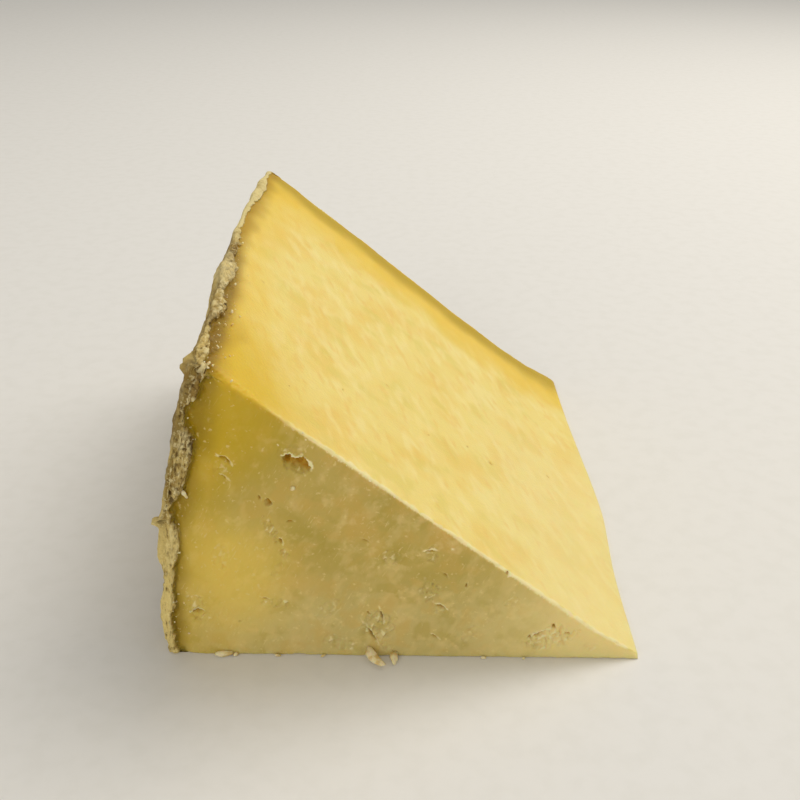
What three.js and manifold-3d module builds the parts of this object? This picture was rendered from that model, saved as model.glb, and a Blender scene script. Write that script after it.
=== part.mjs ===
// A wedge of crumbly pressed cheese with a rough natural rind, lying on one of its two cuts.
// Millimetres, +Z up. The thin edge is at +X, the wheel's rind at -X, its flat end at +Y.
// The broken end with the cracks faces -Y. The origin is the middle of the face it rests on.
import * as THREE from "three";
import { mergeVertices } from "three/addons/utils/BufferGeometryUtils.js";
import Module from "manifold-3d";

// The wedge, measured from the thin edge at the front, on the floor.
const FLOOR_CUT = 99; // width of the lower cut, from thin edge to rind
const DEPTH = 131.6; // from the broken end to the flat rind end
const CUT_ANGLE = THREE.MathUtils.degToRad(37.6); // between the two cuts
const CUT_START = 0.7; // how far from the thin edge the upper cut's plane meets the floor
const RIND_RADIUS = 190; // the rind's curve, seen from the front
const RIND_WAIST = 7; // height at which the rind stands upright
const FOOT_RADIUS = 1.3; // worn lower corner of the rind
const BROW_RADIUS = 1.4; // worn upper corner of the rind
const NOSE_HEIGHT = 2.5; // the thin edge is blunt
const NOSE_RUN = 2.3;
const NOSE_BLEND = 10; // the upper cut lifts to the nose over this run

// How the sides swell and dip along the wedge.
const BARREL = { by: 2.3, at: 75, before: 50, after: 60 }; // the rind bulges at mid depth
const EDGE_SWELL = { by: 2, at: 56, before: 20, after: 38, run: 8 }; // so does the thin edge
const END_DIP = { by: 4.1, at: -21, before: 40, after: 13 }; // the flat end sinks near the edge
const SHOULDER = 2; // the worn corner where the rind meets the flat end
const FRONT_CHAMFER = 0.8;
const BACK_CHAMFER = 0.9;

// Relief: height of the crags and the size of one crag.
const RIND_RELIEF = { height: 0.85, grain: 9 };
const CUT_RELIEF = { height: 0.25, grain: 12 };
const FINE_SHARE = 0.45; // height of the finer crags that lie on the coarse ones
const FINE_RATIO = 1.9; // how many of them fit on one
const QUIET_FOOT = 4; // relief fades out over this height, so that the wedge rests flat

// How finely the surface is divided.
const STATIONS = 36;
const FRONT_RINGS = 8;
const BACK_RINGS = 9;
const CORE = new THREE.Vector2(-66, 23); // where the rings of both ends close

// Openings in the broken end: middle, size and slant, in the plane of that end.
const FISSURES = [
  { x: -70.8, z: 46.2, width: 6.2, height: 4.2, depth: 2.8, slant: 20 },
  { x: -56.2, z: 5.8, width: 1.5, height: 6.4, depth: 3.6, slant: -24 },
  { x: -54.6, z: 10.4, width: 1.4, height: 3.4, depth: 2.4, slant: -14 },
  { x: -84.3, z: 46.9, width: 2.8, height: 1.7, depth: 1.6, slant: 36 },
  { x: -76.6, z: 37.8, width: 1.9, height: 2.3, depth: 1.8, slant: 0 },
  { x: -75.4, z: 30.0, width: 1.6, height: 4.6, depth: 1.6, slant: -22 },
  { x: -91.6, z: 11.6, width: 2.4, height: 3.4, depth: 2.0, slant: -8 },
  { x: -42.2, z: 12.7, width: 2.6, height: 1.6, depth: 1.8, slant: 35 },
  { x: -21.6, z: 6.2, width: 2.8, height: 1.7, depth: 2.2, slant: -35 },
  { x: -17.4, z: 7.6, width: 3.2, height: 1.4, depth: 1.8, slant: 20 },
];

// Lumps of rind that stand proud of its upper and front borders: middle, size and turn.
const RIND_LUMPS = [
  { at: [-89.8, 46, 68.4], size: [4.4, 17, 3.2], turn: 6 },
  { at: [-89.2, 1.9, 66.4], size: [3.8, 3.6, 3.2], turn: 30 },
  { at: [-97.2, 1.8, 32.4], size: [3.0, 3.2, 2.6], turn: -20 },
];
const FISSURE_UNEVENNESS = 0.3;
const LUMP_UNEVENNESS = 0.14;

const cheeseMaterial = new THREE.MeshStandardMaterial({
  color: 0xe3c970,
  roughness: 0.6,
  metalness: 0,
  flatShading: true,
});

const wasm = await Module();
wasm.setup();

// Smooth hump of height 1 at one place, with its own width on each side.
function hump(t, at, before, after) {
  const away = (t - at) / (t < at ? before : after);
  return Math.exp(-away * away);
}

// A repeatable random number from 0 to 1 for a point of the whole-number lattice.
function latticeValue(i, j, k) {
  let mix = Math.imul(i, 0x8da6b343) ^ Math.imul(j, 0xd8163841) ^ Math.imul(k, 0xcb1ab31f);
  mix = Math.imul(mix ^ (mix >>> 13), 0x5bd1e995);
  return ((mix ^ (mix >>> 15)) >>> 0) / 2 ** 32;
}

// Lattice values blended smoothly between their points, from -1 to 1.
function smoothNoise(x, y, z) {
  const cell = [x, y, z].map(Math.floor);
  const [u, v, w] = [x, y, z].map((c, n) => THREE.MathUtils.smoothstep(c - cell[n], 0, 1));
  const mix = THREE.MathUtils.lerp;
  const corner = (a, b, c) => latticeValue(cell[0] + a, cell[1] + b, cell[2] + c);
  const along = (b, c) => mix(corner(0, b, c), corner(1, b, c), u);
  const level = (c) => mix(along(0, c), along(1, c), v);
  return 2 * mix(level(0), level(1), w) - 1;
}

// Height of the surface's relief at a point: coarse crags with finer ones on them.
function relief(kind, x, y, z) {
  const [a, b, c] = [x, y, z].map((s) => s / kind.grain);
  const quiet = THREE.MathUtils.smoothstep(z, 0, QUIET_FOOT);
  const fine = smoothNoise(FINE_RATIO * a, FINE_RATIO * b, FINE_RATIO * c);
  return kind.height * quiet * (smoothNoise(a, b, c) + FINE_SHARE * fine);
}

// Height of the upper cut's plane above the floor.
function cutHeight(x) {
  return -(x + CUT_START) * Math.tan(CUT_ANGLE);
}

// The rind's curve, as a height above the floor gives its place in x.
function rindPlace(z) {
  const rise = z - RIND_WAIST;
  return RIND_RADIUS - FLOOR_CUT - Math.sqrt(RIND_RADIUS ** 2 - rise ** 2);
}

// Height at which the rind's curve meets the upper cut, found by halving.
function browHeight() {
  let [low, high] = [RIND_WAIST, FLOOR_CUT];
  for (let n = 0; n < 40; n++) {
    const middle = (low + high) / 2;
    if (cutHeight(rindPlace(middle)) > middle) low = middle;
    else high = middle;
  }
  return low;
}

// The wedge's outline seen from the front, as curves with a number of steps each.
function outlineCurves() {
  const brow = browHeight();
  const browPoint = new THREE.Vector2(rindPlace(brow), brow);
  const belowBrow = new THREE.Vector2(rindPlace(brow - BROW_RADIUS), brow - BROW_RADIUS);
  const besideBrow = new THREE.Vector2(browPoint.x + BROW_RADIUS, cutHeight(browPoint.x + BROW_RADIUS));
  const footEnd = new THREE.Vector2(rindPlace(FOOT_RADIUS), FOOT_RADIUS);
  const footStart = new THREE.Vector2(-FLOOR_CUT + FOOT_RADIUS, 0);
  const blendStart = new THREE.Vector2(-NOSE_BLEND, cutHeight(-NOSE_BLEND));
  const noseTop = new THREE.Vector2(-NOSE_RUN, NOSE_HEIGHT);
  const noseFoot = new THREE.Vector2(-0.4, 0);
  const sweep = (z) => Math.PI - Math.asin((z - RIND_WAIST) / RIND_RADIUS);
  const curve = (points) => new THREE.QuadraticBezierCurve(...points);
  return [
    { rind: 0, steps: 10, path: new THREE.LineCurve(noseFoot, footStart) },
    { rind: 0.5, steps: 3, path: curve([footStart, new THREE.Vector2(-FLOOR_CUT, 0), footEnd]) },
    {
      rind: 1,
      steps: 20,
      path: new THREE.EllipseCurve(
        RIND_RADIUS - FLOOR_CUT,
        RIND_WAIST,
        RIND_RADIUS,
        RIND_RADIUS,
        sweep(FOOT_RADIUS),
        sweep(belowBrow.y),
        true,
      ),
    },
    { rind: 0.6, steps: 2, path: curve([belowBrow, browPoint, besideBrow]) },
    { rind: 0, steps: 20, path: new THREE.LineCurve(besideBrow, blendStart) },
    { rind: 0, steps: 2, path: new THREE.LineCurve(blendStart, noseTop) },
    { rind: 0, steps: 3, path: curve([noseTop, new THREE.Vector2(0.2, 1.1), noseFoot]) },
  ];
}

// Outline points in order, each with its outward direction and how much of it is rind.
function outlinePoints() {
  const points = outlineCurves().flatMap(({ rind, steps, path }) =>
    path.getPoints(steps).slice(0, steps).map((p) => ({ x: p.x, z: p.y, rind })),
  );
  return points.map((point, n) => {
    const before = points.at(n - 1);
    const after = points[(n + 1) % points.length];
    const outward = new THREE.Vector2(before.z - after.z, after.x - before.x).normalize();
    return { ...point, outward };
  });
}

// Width of the section at a depth, against the section at the front.
function sectionScale(y) {
  const bulge = BARREL.by * hump(y, BARREL.at, BARREL.before, BARREL.after);
  const past = Math.max(0, y - (DEPTH - SHOULDER));
  const rounded = SHOULDER - Math.sqrt(SHOULDER ** 2 - Math.min(past, 0.9 * SHOULDER) ** 2);
  return 1 + (bulge - rounded) / FLOOR_CUT;
}

// Moves a point of the plain prism to where the swollen and sunken wedge has it.
function shaped(x, y, z) {
  const scale = sectionScale(y);
  const swell = EDGE_SWELL.by * hump(y, EDGE_SWELL.at, EDGE_SWELL.before, EDGE_SWELL.after);
  const dip = END_DIP.by * hump(x, END_DIP.at, END_DIP.before, END_DIP.after);
  return new THREE.Vector3(
    x * scale + swell * Math.exp(-((x / EDGE_SWELL.run) ** 2)),
    y * (1 - dip / DEPTH),
    z * scale,
  );
}

// One ring of points round the wedge: on its side, or drawn in by a share across an end.
function ring(outline, y, share, end) {
  return outline.map(({ x, z, rind, outward }) => {
    const point = shaped(CORE.x + (x - CORE.x) * share, y, CORE.y + (z - CORE.y) * share);
    const roughness = end === "back" ? 1 : end === "front" ? 0 : rind;
    const out = THREE.MathUtils.lerp(
      relief(CUT_RELIEF, point.x, point.y, point.z),
      relief(RIND_RELIEF, point.x, point.y, point.z),
      roughness,
    );
    const facing = { back: [0, 1, 0], front: [0, -1, 0], side: [outward.x, 0, outward.y] }[end];
    point.addScaledVector(new THREE.Vector3(...facing), out);
    point.z = Math.max(point.z, 0);
    return point;
  });
}

// All rings from the front end, along the sides, to the back end.
function bodyRings(outline) {
  const rings = [];
  const edgeShare = (inset) => 1 - inset / CORE.y;
  for (let n = 1; n <= FRONT_RINGS; n++)
    rings.push(ring(outline, 0, (n / FRONT_RINGS) * edgeShare(FRONT_CHAMFER), "front"));
  for (let n = 0; n <= STATIONS; n++) {
    const y = THREE.MathUtils.lerp(FRONT_CHAMFER, DEPTH - BACK_CHAMFER, n / STATIONS);
    rings.push(ring(outline, y, 1, "side"));
  }
  for (let n = BACK_RINGS; n >= 1; n--)
    rings.push(ring(outline, DEPTH, (n / BACK_RINGS) * edgeShare(BACK_CHAMFER), "back"));
  return rings;
}

// A closed surface through the rings, from a middle point at one end to that at the other.
function ringSurface(rings, firstPoint, lastPoint) {
  const count = rings[0].length;
  const points = [...rings.flat(), firstPoint, lastPoint];
  const first = points.length - 2;
  const last = points.length - 1;
  const faces = [];
  for (let k = 0; k < count; k++) {
    const next = (k + 1) % count;
    faces.push(first, next, k);
    for (let r = 0; r + 1 < rings.length; r++) {
      const [a, b] = [r * count + k, r * count + next];
      faces.push(a, b, b + count, a, b + count, a + count);
    }
    faces.push(last, first - count + k, first - count + next);
  }
  const geometry = new THREE.BufferGeometry().setFromPoints(points);
  geometry.setIndex(faces);
  return geometry;
}

// An uneven rounded lump of the given size, from a ball with its corners moved at random.
function lumpGeometry(size, unevenness, seed) {
  const ball = new THREE.IcosahedronGeometry(0.5, 1);
  ball.deleteAttribute("normal");
  ball.deleteAttribute("uv");
  const lump = mergeVertices(ball, 1e-4);
  const place = lump.getAttribute("position");
  for (let n = 0; n < place.count; n++) {
    const stretch = 1 + unevenness * (2 * latticeValue(n, seed, 5) - 1);
    place.setXYZ(n, place.getX(n) * stretch, place.getY(n) * stretch, place.getZ(n) * stretch);
  }
  return lump.scale(...size);
}

// The cutter for one opening in the broken end.
function fissureGeometry({ x, z, width, height, depth, slant }, n) {
  return lumpGeometry([width, 2 * depth, height], FISSURE_UNEVENNESS, n)
    .rotateY(THREE.MathUtils.degToRad(slant))
    .translate(x, 0, z);
}

// One proud lump of rind.
function rindLumpGeometry({ at, size, turn }, n) {
  return lumpGeometry(size, LUMP_UNEVENNESS, FISSURES.length + n)
    .rotateZ(THREE.MathUtils.degToRad(turn))
    .translate(...at);
}

// Makes a solid of a closed geometry.
function solidOf(geometry) {
  return new wasm.Manifold(
    new wasm.Mesh({
      numProp: 3,
      vertProperties: geometry.getAttribute("position").array,
      triVerts: new Uint32Array(geometry.index.array),
    }),
  );
}

// Turns a solid back into a geometry.
function geometryOf(solid) {
  const { vertProperties, triVerts } = solid.getMesh();
  const geometry = new THREE.BufferGeometry();
  geometry.setAttribute("position", new THREE.BufferAttribute(vertProperties, 3));
  geometry.setIndex(new THREE.BufferAttribute(triVerts, 1));
  return geometry;
}

// The wedge without its openings and lumps.
function bodyGeometry() {
  const outline = outlinePoints();
  const [frontMiddle] = ring(outline, 0, 0, "front");
  const [backMiddle] = ring(outline, DEPTH, 0, "back");
  return ringSurface(bodyRings(outline), frontMiddle, backMiddle);
}

// The whole wedge, with its origin moved to the middle of its resting face.
function wedgeGeometry() {
  let wedge = solidOf(bodyGeometry());
  for (const lump of RIND_LUMPS.map(rindLumpGeometry)) wedge = wedge.add(solidOf(lump));
  for (const cutter of FISSURES.map(fissureGeometry)) wedge = wedge.subtract(solidOf(cutter));
  const geometry = geometryOf(wedge);
  geometry.computeBoundingBox();
  const { min, max } = geometry.boundingBox;
  geometry.translate(-(min.x + max.x) / 2, -(min.y + max.y) / 2, -min.z);
  geometry.computeVertexNormals();
  return geometry;
}

const wedge = new THREE.Mesh(wedgeGeometry(), cheeseMaterial);
wedge.name = "cheese_wedge";

const cheese = new THREE.Group();
cheese.add(wedge);

export default cheese;
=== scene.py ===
"""A wedge of crumbly pressed cheese with a natural rind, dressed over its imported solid.

Sizes are in millimetres on the wedge's own axes, from the front corner of its thin edge on the
floor: +X runs out past the thin edge, +Y along the wedge from its broken end, +Z up. They
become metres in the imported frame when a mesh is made.
"""

import logging
import math
from dataclasses import dataclass
from enum import Enum
from typing import Any, Callable

import bmesh
import bpy
import numpy as np
from mathutils import Matrix, Vector
from mathutils.geometry import delaunay_2d_cdt


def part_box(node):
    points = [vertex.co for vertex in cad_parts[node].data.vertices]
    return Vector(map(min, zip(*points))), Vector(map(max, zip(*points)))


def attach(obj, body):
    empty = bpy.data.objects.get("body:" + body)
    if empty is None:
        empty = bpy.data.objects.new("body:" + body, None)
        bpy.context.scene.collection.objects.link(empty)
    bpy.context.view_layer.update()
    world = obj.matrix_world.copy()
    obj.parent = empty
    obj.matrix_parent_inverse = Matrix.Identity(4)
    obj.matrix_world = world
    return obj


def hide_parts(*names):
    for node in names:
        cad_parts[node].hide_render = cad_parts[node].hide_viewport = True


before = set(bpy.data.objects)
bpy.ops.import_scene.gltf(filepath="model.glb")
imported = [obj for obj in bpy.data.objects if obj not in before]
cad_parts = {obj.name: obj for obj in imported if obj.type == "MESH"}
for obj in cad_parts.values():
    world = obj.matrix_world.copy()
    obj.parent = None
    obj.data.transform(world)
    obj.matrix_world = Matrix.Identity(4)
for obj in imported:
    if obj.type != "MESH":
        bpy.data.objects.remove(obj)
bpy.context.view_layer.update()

LOG = logging.getLogger("cheese_wedge")
MM = 0.001
NODE = "cheese_wedge"
POINT_SEED = 11
CRUMB_SEED = 5
TAG_SHUFFLE = 7919.0
Array = np.ndarray


class Slot(Enum):
    """Material slots: paste and rind."""

    PASTE = "paste"
    RIND = "rind"


class Run(Enum):
    """Stretches of the wedge's outline, in order from the thin edge's foot."""

    FLOOR_CUT = 0
    FOOT = 1
    RIND = 2
    BROW = 3
    UPPER_CUT = 4
    NOSE = 5


# Noise


def smoothstep(value: Array, low: float, high: float) -> Array:
    """Rises smoothly from 0 at low to 1 at high, or falls where low is the larger."""
    share = np.clip((value - low) / (high - low), 0.0, 1.0)
    return share * share * (3.0 - 2.0 * share)


def lattice_value(cell: Array) -> Array:
    """Gives a repeatable random number for each point of the whole-number lattice.

    Args:
        cell: Whole numbers, three to a point.

    Returns:
        One number from 0 to 1 for each point.
    """
    primes = (0x8DA6B343, 0xD8163841, 0xCB1AB31F)
    mix = np.zeros(cell.shape[:-1], np.uint32)
    for axis, prime in enumerate(primes):
        mix ^= cell[..., axis].astype(np.uint32) * np.uint32(prime)
    mix = (mix ^ (mix >> np.uint32(13))) * np.uint32(0x5BD1E995)
    return (mix ^ (mix >> np.uint32(15))) / 2.0**32


def smooth_noise(points: Array) -> Array:
    """Blends lattice values smoothly between their points.

    Args:
        points: Places, in units of one lattice step.

    Returns:
        A number from -1 to 1 for each place.
    """
    cell = np.floor(points).astype(np.int64)
    part = points - cell
    part = part * part * (3.0 - 2.0 * part)
    total = np.zeros(len(points))
    for corner in np.ndindex(2, 2, 2):
        weight = np.prod(np.where(corner, part, 1.0 - part), axis=-1)
        total += weight * lattice_value(cell + np.array(corner))
    return 2.0 * total - 1.0


def layered_noise(points: Array, grain: float, layers: int, seed: int) -> Array:
    """Adds finer noise to coarse noise.

    Args:
        points: Places in millimetres.
        grain: Size of the coarsest lumps, in millimetres.
        layers: How many sizes are added, each about half the one before.
        seed: Picks another pattern of the same kind.

    Returns:
        A number from about -1 to 1 for each place.
    """
    total = np.zeros(len(points))
    whole = 0.0
    for layer in range(layers):
        share = 0.5**layer
        shift = 19.7 * (seed + 1) + 7.3 * layer
        total += share * smooth_noise(points * 1.93**layer / grain + shift)
        whole += share
    return total / whole


@dataclass(frozen=True)
class Grains:
    """The nearest of many scattered points for each place: how far, which way and its number."""

    gap: Array
    away: Array
    tag: Array

    def other_tag(self, step: int) -> Array:
        """Another number from 0 to 1 that belongs to the same scattered point."""
        return (self.tag * TAG_SHUFFLE * (step + 1)) % 1.0


def scattered_grains(scaled: Array, seed: int) -> Grains:
    """Finds the nearest of many scattered points, one to each cell of a lattice.

    Args:
        scaled: Places in units of the mean distance between the scattered points.
        seed: Picks another scatter.

    Returns:
        The nearest one for each place, in the same units.
    """
    moved = scaled + 31.7 * (seed + 1)
    cell = np.floor(moved).astype(np.int64)
    gap = np.full(len(moved), np.inf)
    away = np.zeros(moved.shape)
    tag = np.zeros(len(moved))
    for step in np.ndindex(3, 3, 3):
        home = cell + np.array(step) - 1
        spots = [lattice_value(home + 911 * axis) for axis in np.eye(3, dtype=int)]
        seat = home + np.stack(spots, -1)
        offset = moved - seat
        distance = np.linalg.norm(offset, axis=-1)
        closer = distance < gap
        gap = np.where(closer, distance, gap)
        away = np.where(closer[:, None], offset, away)
        tag = np.where(closer, lattice_value(home + 457), tag)
    return Grains(gap, away, tag)


# The wedge's form, as in its solid


@dataclass(frozen=True)
class Hump:
    """A smooth swelling or dip at one place, with its own width on each side."""

    by: float  # its height, negative for a dip
    at: float
    before: float  # its width on the low side
    after: float  # its width on the high side

    def height(self, t: Array) -> Array:
        """Gives the hump's height at each place along its line."""
        away = (t - self.at) / np.where(t < self.at, self.before, self.after)
        return self.by * np.exp(-away * away)


@dataclass(frozen=True)
class Crags:
    """Coarse relief that the solid has too: its height and the size of one crag."""

    height: float
    grain: float
    fine_share: float = 0.45
    fine_ratio: float = 1.9
    quiet_foot: float = 4.0  # height over which the relief fades out above the floor

    def relief(self, place: Array) -> Array:
        """Gives the relief's height at each place, fading out towards the floor.

        Args:
            place: The places.

        Returns:
            Millimetres outward at each of them.
        """
        scaled = place / self.grain
        quiet = smoothstep(place[:, 2], 0.0, self.quiet_foot)
        fine = smooth_noise(self.fine_ratio * scaled)
        return self.height * quiet * (smooth_noise(scaled) + self.fine_share * fine)


@dataclass(frozen=True)
class Outline:
    """The wedge's section as a closed line of close points."""

    along: Array  # distance along the line
    points: Array  # x and z
    outward: Array
    run: Array  # number of the run that each point is on
    rind: Array  # how much of the surface is rind

    @property
    def length(self) -> float:
        """Length all the way round."""
        return float(self.along[-1])

    @property
    def limits(self) -> list[float]:
        """Distances at which the runs start, with the whole length after them."""
        return [self.start(run) for run in Run] + [self.length]

    def start(self, run: Run) -> float:
        """Distance along the line at which a run starts."""
        return float(self.along[np.searchsorted(self.run, run.value)])

    def run_number(self, along: Array) -> Array:
        """Numbers of the runs that distances along the line are on."""
        return np.clip(np.searchsorted(self.limits, along, side="right") - 1, 0, len(Run) - 1)

    def point(self, along: Array) -> Array:
        """Places in the section at distances along the line."""
        return np.stack([np.interp(along, self.along, self.points[:, n]) for n in range(2)], -1)

    def direction(self, along: Array) -> Array:
        """Outward directions at distances along the line."""
        out = np.stack([np.interp(along, self.along, self.outward[:, n]) for n in range(2)], -1)
        return out / np.linalg.norm(out, axis=-1, keepdims=True)

    def rind_share(self, along: Array) -> Array:
        """How much of the surface is rind at distances along the line."""
        return np.interp(along, self.along, self.rind)


@dataclass(frozen=True)
class WedgeForm:
    """Sizes of the wedge, the same as its solid's."""

    floor_cut: float = 99.0  # width of the lower cut, from thin edge to rind
    depth: float = 131.6  # from the broken end to the flat rind end
    cut_angle: float = math.radians(37.6)  # between the two cuts
    cut_start: float = 0.7  # how far from the thin edge the upper cut's plane meets the floor
    rind_radius: float = 190.0
    rind_waist: float = 7.0  # height at which the rind stands upright
    foot_radius: float = 1.3  # worn lower corner of the rind
    brow_radius: float = 1.4  # worn upper corner of the rind
    nose_height: float = 2.5  # the thin edge is blunt
    nose_run: float = 2.3
    nose_blend: float = 10.0  # the upper cut lifts to the nose over this run
    shoulder: float = 2.0  # the worn corner where the rind meets the flat end
    barrel: Hump = Hump(2.3, 75.0, 50.0, 60.0)  # the rind bulges at mid depth
    edge_swell: Hump = Hump(2.0, 56.0, 20.0, 38.0)  # so does the thin edge
    edge_swell_run: float = 8.0
    end_dip: Hump = Hump(4.1, -21.0, 40.0, 13.0)  # the flat end sinks near the thin edge
    rind_crags: Crags = Crags(0.85, 9.0)
    cut_crags: Crags = Crags(0.25, 12.0)
    edge_reach: float = 1.65  # how far the swollen thin edge stands out past its front corner
    front_reach: float = 0.31  # how far the broken end's relief stands out
    outline_steps: int = 400  # points on each curve of the outline

    @property
    def origin(self) -> Array:
        """The thin edge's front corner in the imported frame, found from the solid's box."""
        low, high = (np.array(corner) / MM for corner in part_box(NODE))
        return np.array([high[0] - self.edge_reach, low[1] + self.front_reach, 0.0])

    def cut_height(self, x: float) -> float:
        """Height of the upper cut's plane above the floor."""
        return -(x + self.cut_start) * math.tan(self.cut_angle)

    def rind_place(self, z: float) -> float:
        """Place in x of the rind's curve at a height."""
        rise = z - self.rind_waist
        return self.rind_radius - self.floor_cut - math.sqrt(self.rind_radius**2 - rise**2)

    @property
    def rind_centre(self) -> Array:
        """Middle of the rind's curve in the section."""
        return np.array([self.rind_radius - self.floor_cut, self.rind_waist])

    def rind_depth(self, section: Array) -> Array:
        """How deep places of the section lie inside the rind's curve."""
        return self.rind_radius - np.linalg.norm(section - self.rind_centre, axis=-1)

    def brow_height(self) -> float:
        """Height at which the rind's curve meets the upper cut, found by halving.

        Returns:
            The height in millimetres.
        """
        low, high = self.rind_waist, self.floor_cut
        for _ in range(40):
            middle = (low + high) / 2
            if self.cut_height(self.rind_place(middle)) > middle:
                low = middle
            else:
                high = middle
        return low

    def outline(self) -> Outline:
        """Follows the section from the thin edge along the floor and back over the upper cut.

        Returns:
            The outline.
        """
        steps = np.linspace(0.0, 1.0, self.outline_steps, endpoint=False)[:, None]

        def bend(a: Array, b: Array, c: Array) -> Array:
            """A curve from a to c that heads for b."""
            return (1 - steps) ** 2 * a + 2 * steps * (1 - steps) * b + steps**2 * c

        brow = self.brow_height()
        brow_point = np.array([self.rind_place(brow), brow])
        below_brow = np.array([self.rind_place(brow - self.brow_radius), brow - self.brow_radius])
        beside = brow_point[0] + self.brow_radius
        beside_brow = np.array([beside, self.cut_height(beside)])
        foot_end = np.array([self.rind_place(self.foot_radius), self.foot_radius])
        foot_start = np.array([-self.floor_cut + self.foot_radius, 0.0])
        blend_start = np.array([-self.nose_blend, self.cut_height(-self.nose_blend)])
        nose_top = np.array([-self.nose_run, self.nose_height])
        nose_bulge = np.array([0.2, 1.1])
        nose_foot = np.array([-0.4, 0.0])
        heights = foot_end[1] + (below_brow[1] - foot_end[1]) * steps[:, 0]
        rind = np.stack([[self.rind_place(z) for z in heights], heights], -1)
        runs = [
            nose_foot + (foot_start - nose_foot) * steps,
            bend(foot_start, np.array([-self.floor_cut, 0.0]), foot_end),
            rind,
            bend(below_brow, brow_point, beside_brow),
            np.concatenate([
                beside_brow + (blend_start - beside_brow) * steps,
                blend_start + (nose_top - blend_start) * steps,
            ]),
            np.concatenate([bend(nose_top, nose_bulge, nose_foot), nose_foot[None]]),
        ]
        points = np.concatenate(runs)
        run = np.concatenate([np.full(len(part), number) for number, part in enumerate(runs)])
        along = np.concatenate([[0.0], np.cumsum(np.linalg.norm(np.diff(points, axis=0), axis=-1))])
        travel = np.gradient(points, along, axis=0)
        travel /= np.linalg.norm(travel, axis=-1, keepdims=True)
        outward = np.stack([-travel[:, 1], travel[:, 0]], -1)
        ends = [along[np.searchsorted(run, number)] for number in range(1, 5)]
        share = np.interp(along, ends, [0.0, 1.0, 1.0, 0.25], left=0.0, right=0.0)
        return Outline(along, points, outward, run, share)

    def shaped(self, section: Array, depth: Array) -> Array:
        """Moves places of the plain prism to where the swollen and sunken wedge has them.

        Args:
            section: Places in the section, x and z.
            depth: Distance of each from the broken end.

        Returns:
            Their places on the wedge.
        """
        past = np.clip(depth - (self.depth - self.shoulder), 0.0, 0.9 * self.shoulder)
        rounded = self.shoulder - np.sqrt(self.shoulder**2 - past**2)
        scale = 1.0 + (self.barrel.height(depth) - rounded) / self.floor_cut
        x, z = section[:, 0], section[:, 1]
        swell = self.edge_swell.height(depth) * np.exp(-((x / self.edge_swell_run) ** 2))
        dip = self.end_dip.height(x)
        return np.stack([x * scale + swell, depth * (1.0 - dip / self.depth), z * scale], -1)


# Marks on the wedge's faces


@dataclass(frozen=True)
class Mark:
    """A place on one face: its middle, size and slant. Across and up are that face's own axes."""

    across: float
    up: float
    width: float
    height: float
    depth: float
    slant: float = 0.0  # in degrees
    lip: float = 0.4  # how pale its lip is: partly crumbled curd, partly painted highlight

    @property
    def least(self) -> float:
        """Half the smaller of its sizes."""
        return min(self.width, self.height) / 2

    def local(self, across: Array, up: Array) -> tuple[Array, Array]:
        """Places from the mark's middle along its own axes, as shares of half its sizes.

        Args:
            across: The face's first coordinate of each place.
            up: Its second.

        Returns:
            How far each place is along the mark's width, and along its height.
        """
        turn = math.radians(self.slant)
        right, rise = across - self.across, up - self.up
        along = right * math.cos(turn) - rise * math.sin(turn)
        over = right * math.sin(turn) + rise * math.cos(turn)
        return 2 * along / self.width, 2 * over / self.height

    def reach(self, across: Array, up: Array) -> Array:
        """Distance from the middle as a share of the mark's size: 1 at its border."""
        return np.hypot(*self.local(across, up))


# Openings in the broken end, as in the solid, with small ones that it leaves out.
FISSURES = (
    Mark(-70.8, 46.2, 5.8, 3.3, 2.6, 20, 1.0),
    Mark(-56.4, 5.6, 0.7, 5.2, 2.6, -30, 0.5),
    Mark(-54.4, 10.4, 0.7, 3.0, 2.0, -14, 0.6),
    Mark(-56.9, 10.9, 0.6, 1.4, 1.6, -34, 0.3),
    Mark(-84.3, 46.9, 2.8, 1.1, 1.6, 36, 0.6),
    Mark(-76.6, 37.8, 1.7, 2.1, 1.8, 0, 0.2),
    Mark(-74.4, 28.6, 0.9, 1.6, 1.6, -22, 0.5),
    Mark(-91.6, 11.2, 2.4, 1.2, 1.6, -8, 0.8),
    Mark(-42.2, 12.7, 2.6, 1.1, 1.8, 35, 0.8),
    Mark(-21.6, 6.2, 2.8, 1.2, 2.2, -35, 0.7),
    Mark(-18.9, 8.5, 1.2, 1.4, 1.6, 20, 0.3),
    Mark(-15.7, 6.3, 1.5, 0.9, 1.4, 20, 0.3),
    Mark(-23.4, 5.2, 1.4, 0.7, 1.4, 20, 0.5),
    Mark(-84.6, 43.1, 1.7, 0.6, 0.9, 38, 0.5),
    Mark(-78.0, 38.8, 0.6, 1.2, 0.9, -20, 0.2),
    Mark(-72.2, 33.4, 1.6, 0.9, 0.7, -10, 0.2),
    Mark(-77.8, 14.4, 1.4, 0.7, 1.0, 25, 0.5),
    Mark(-83.3, 8.7, 0.6, 0.5, 0.8, 0, 0.0),
    Mark(-57.7, 29.2, 1.6, 0.5, 0.8, 25, 0.2),
    Mark(-43.3, 5.4, 1.8, 0.6, 1.0, 38, 0.6),
    Mark(-41.6, 21.0, 1.4, 0.5, 0.9, 50, 0.2),
    Mark(-37.4, 18.6, 0.5, 1.2, 0.8, 20, 0.4),
    Mark(-44.8, 26.6, 2.4, 0.9, 0.9, 4, 1.0),
    Mark(-28.8, 22.1, 1.0, 2.2, 1.2, 24, 0.7),
)

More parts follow.
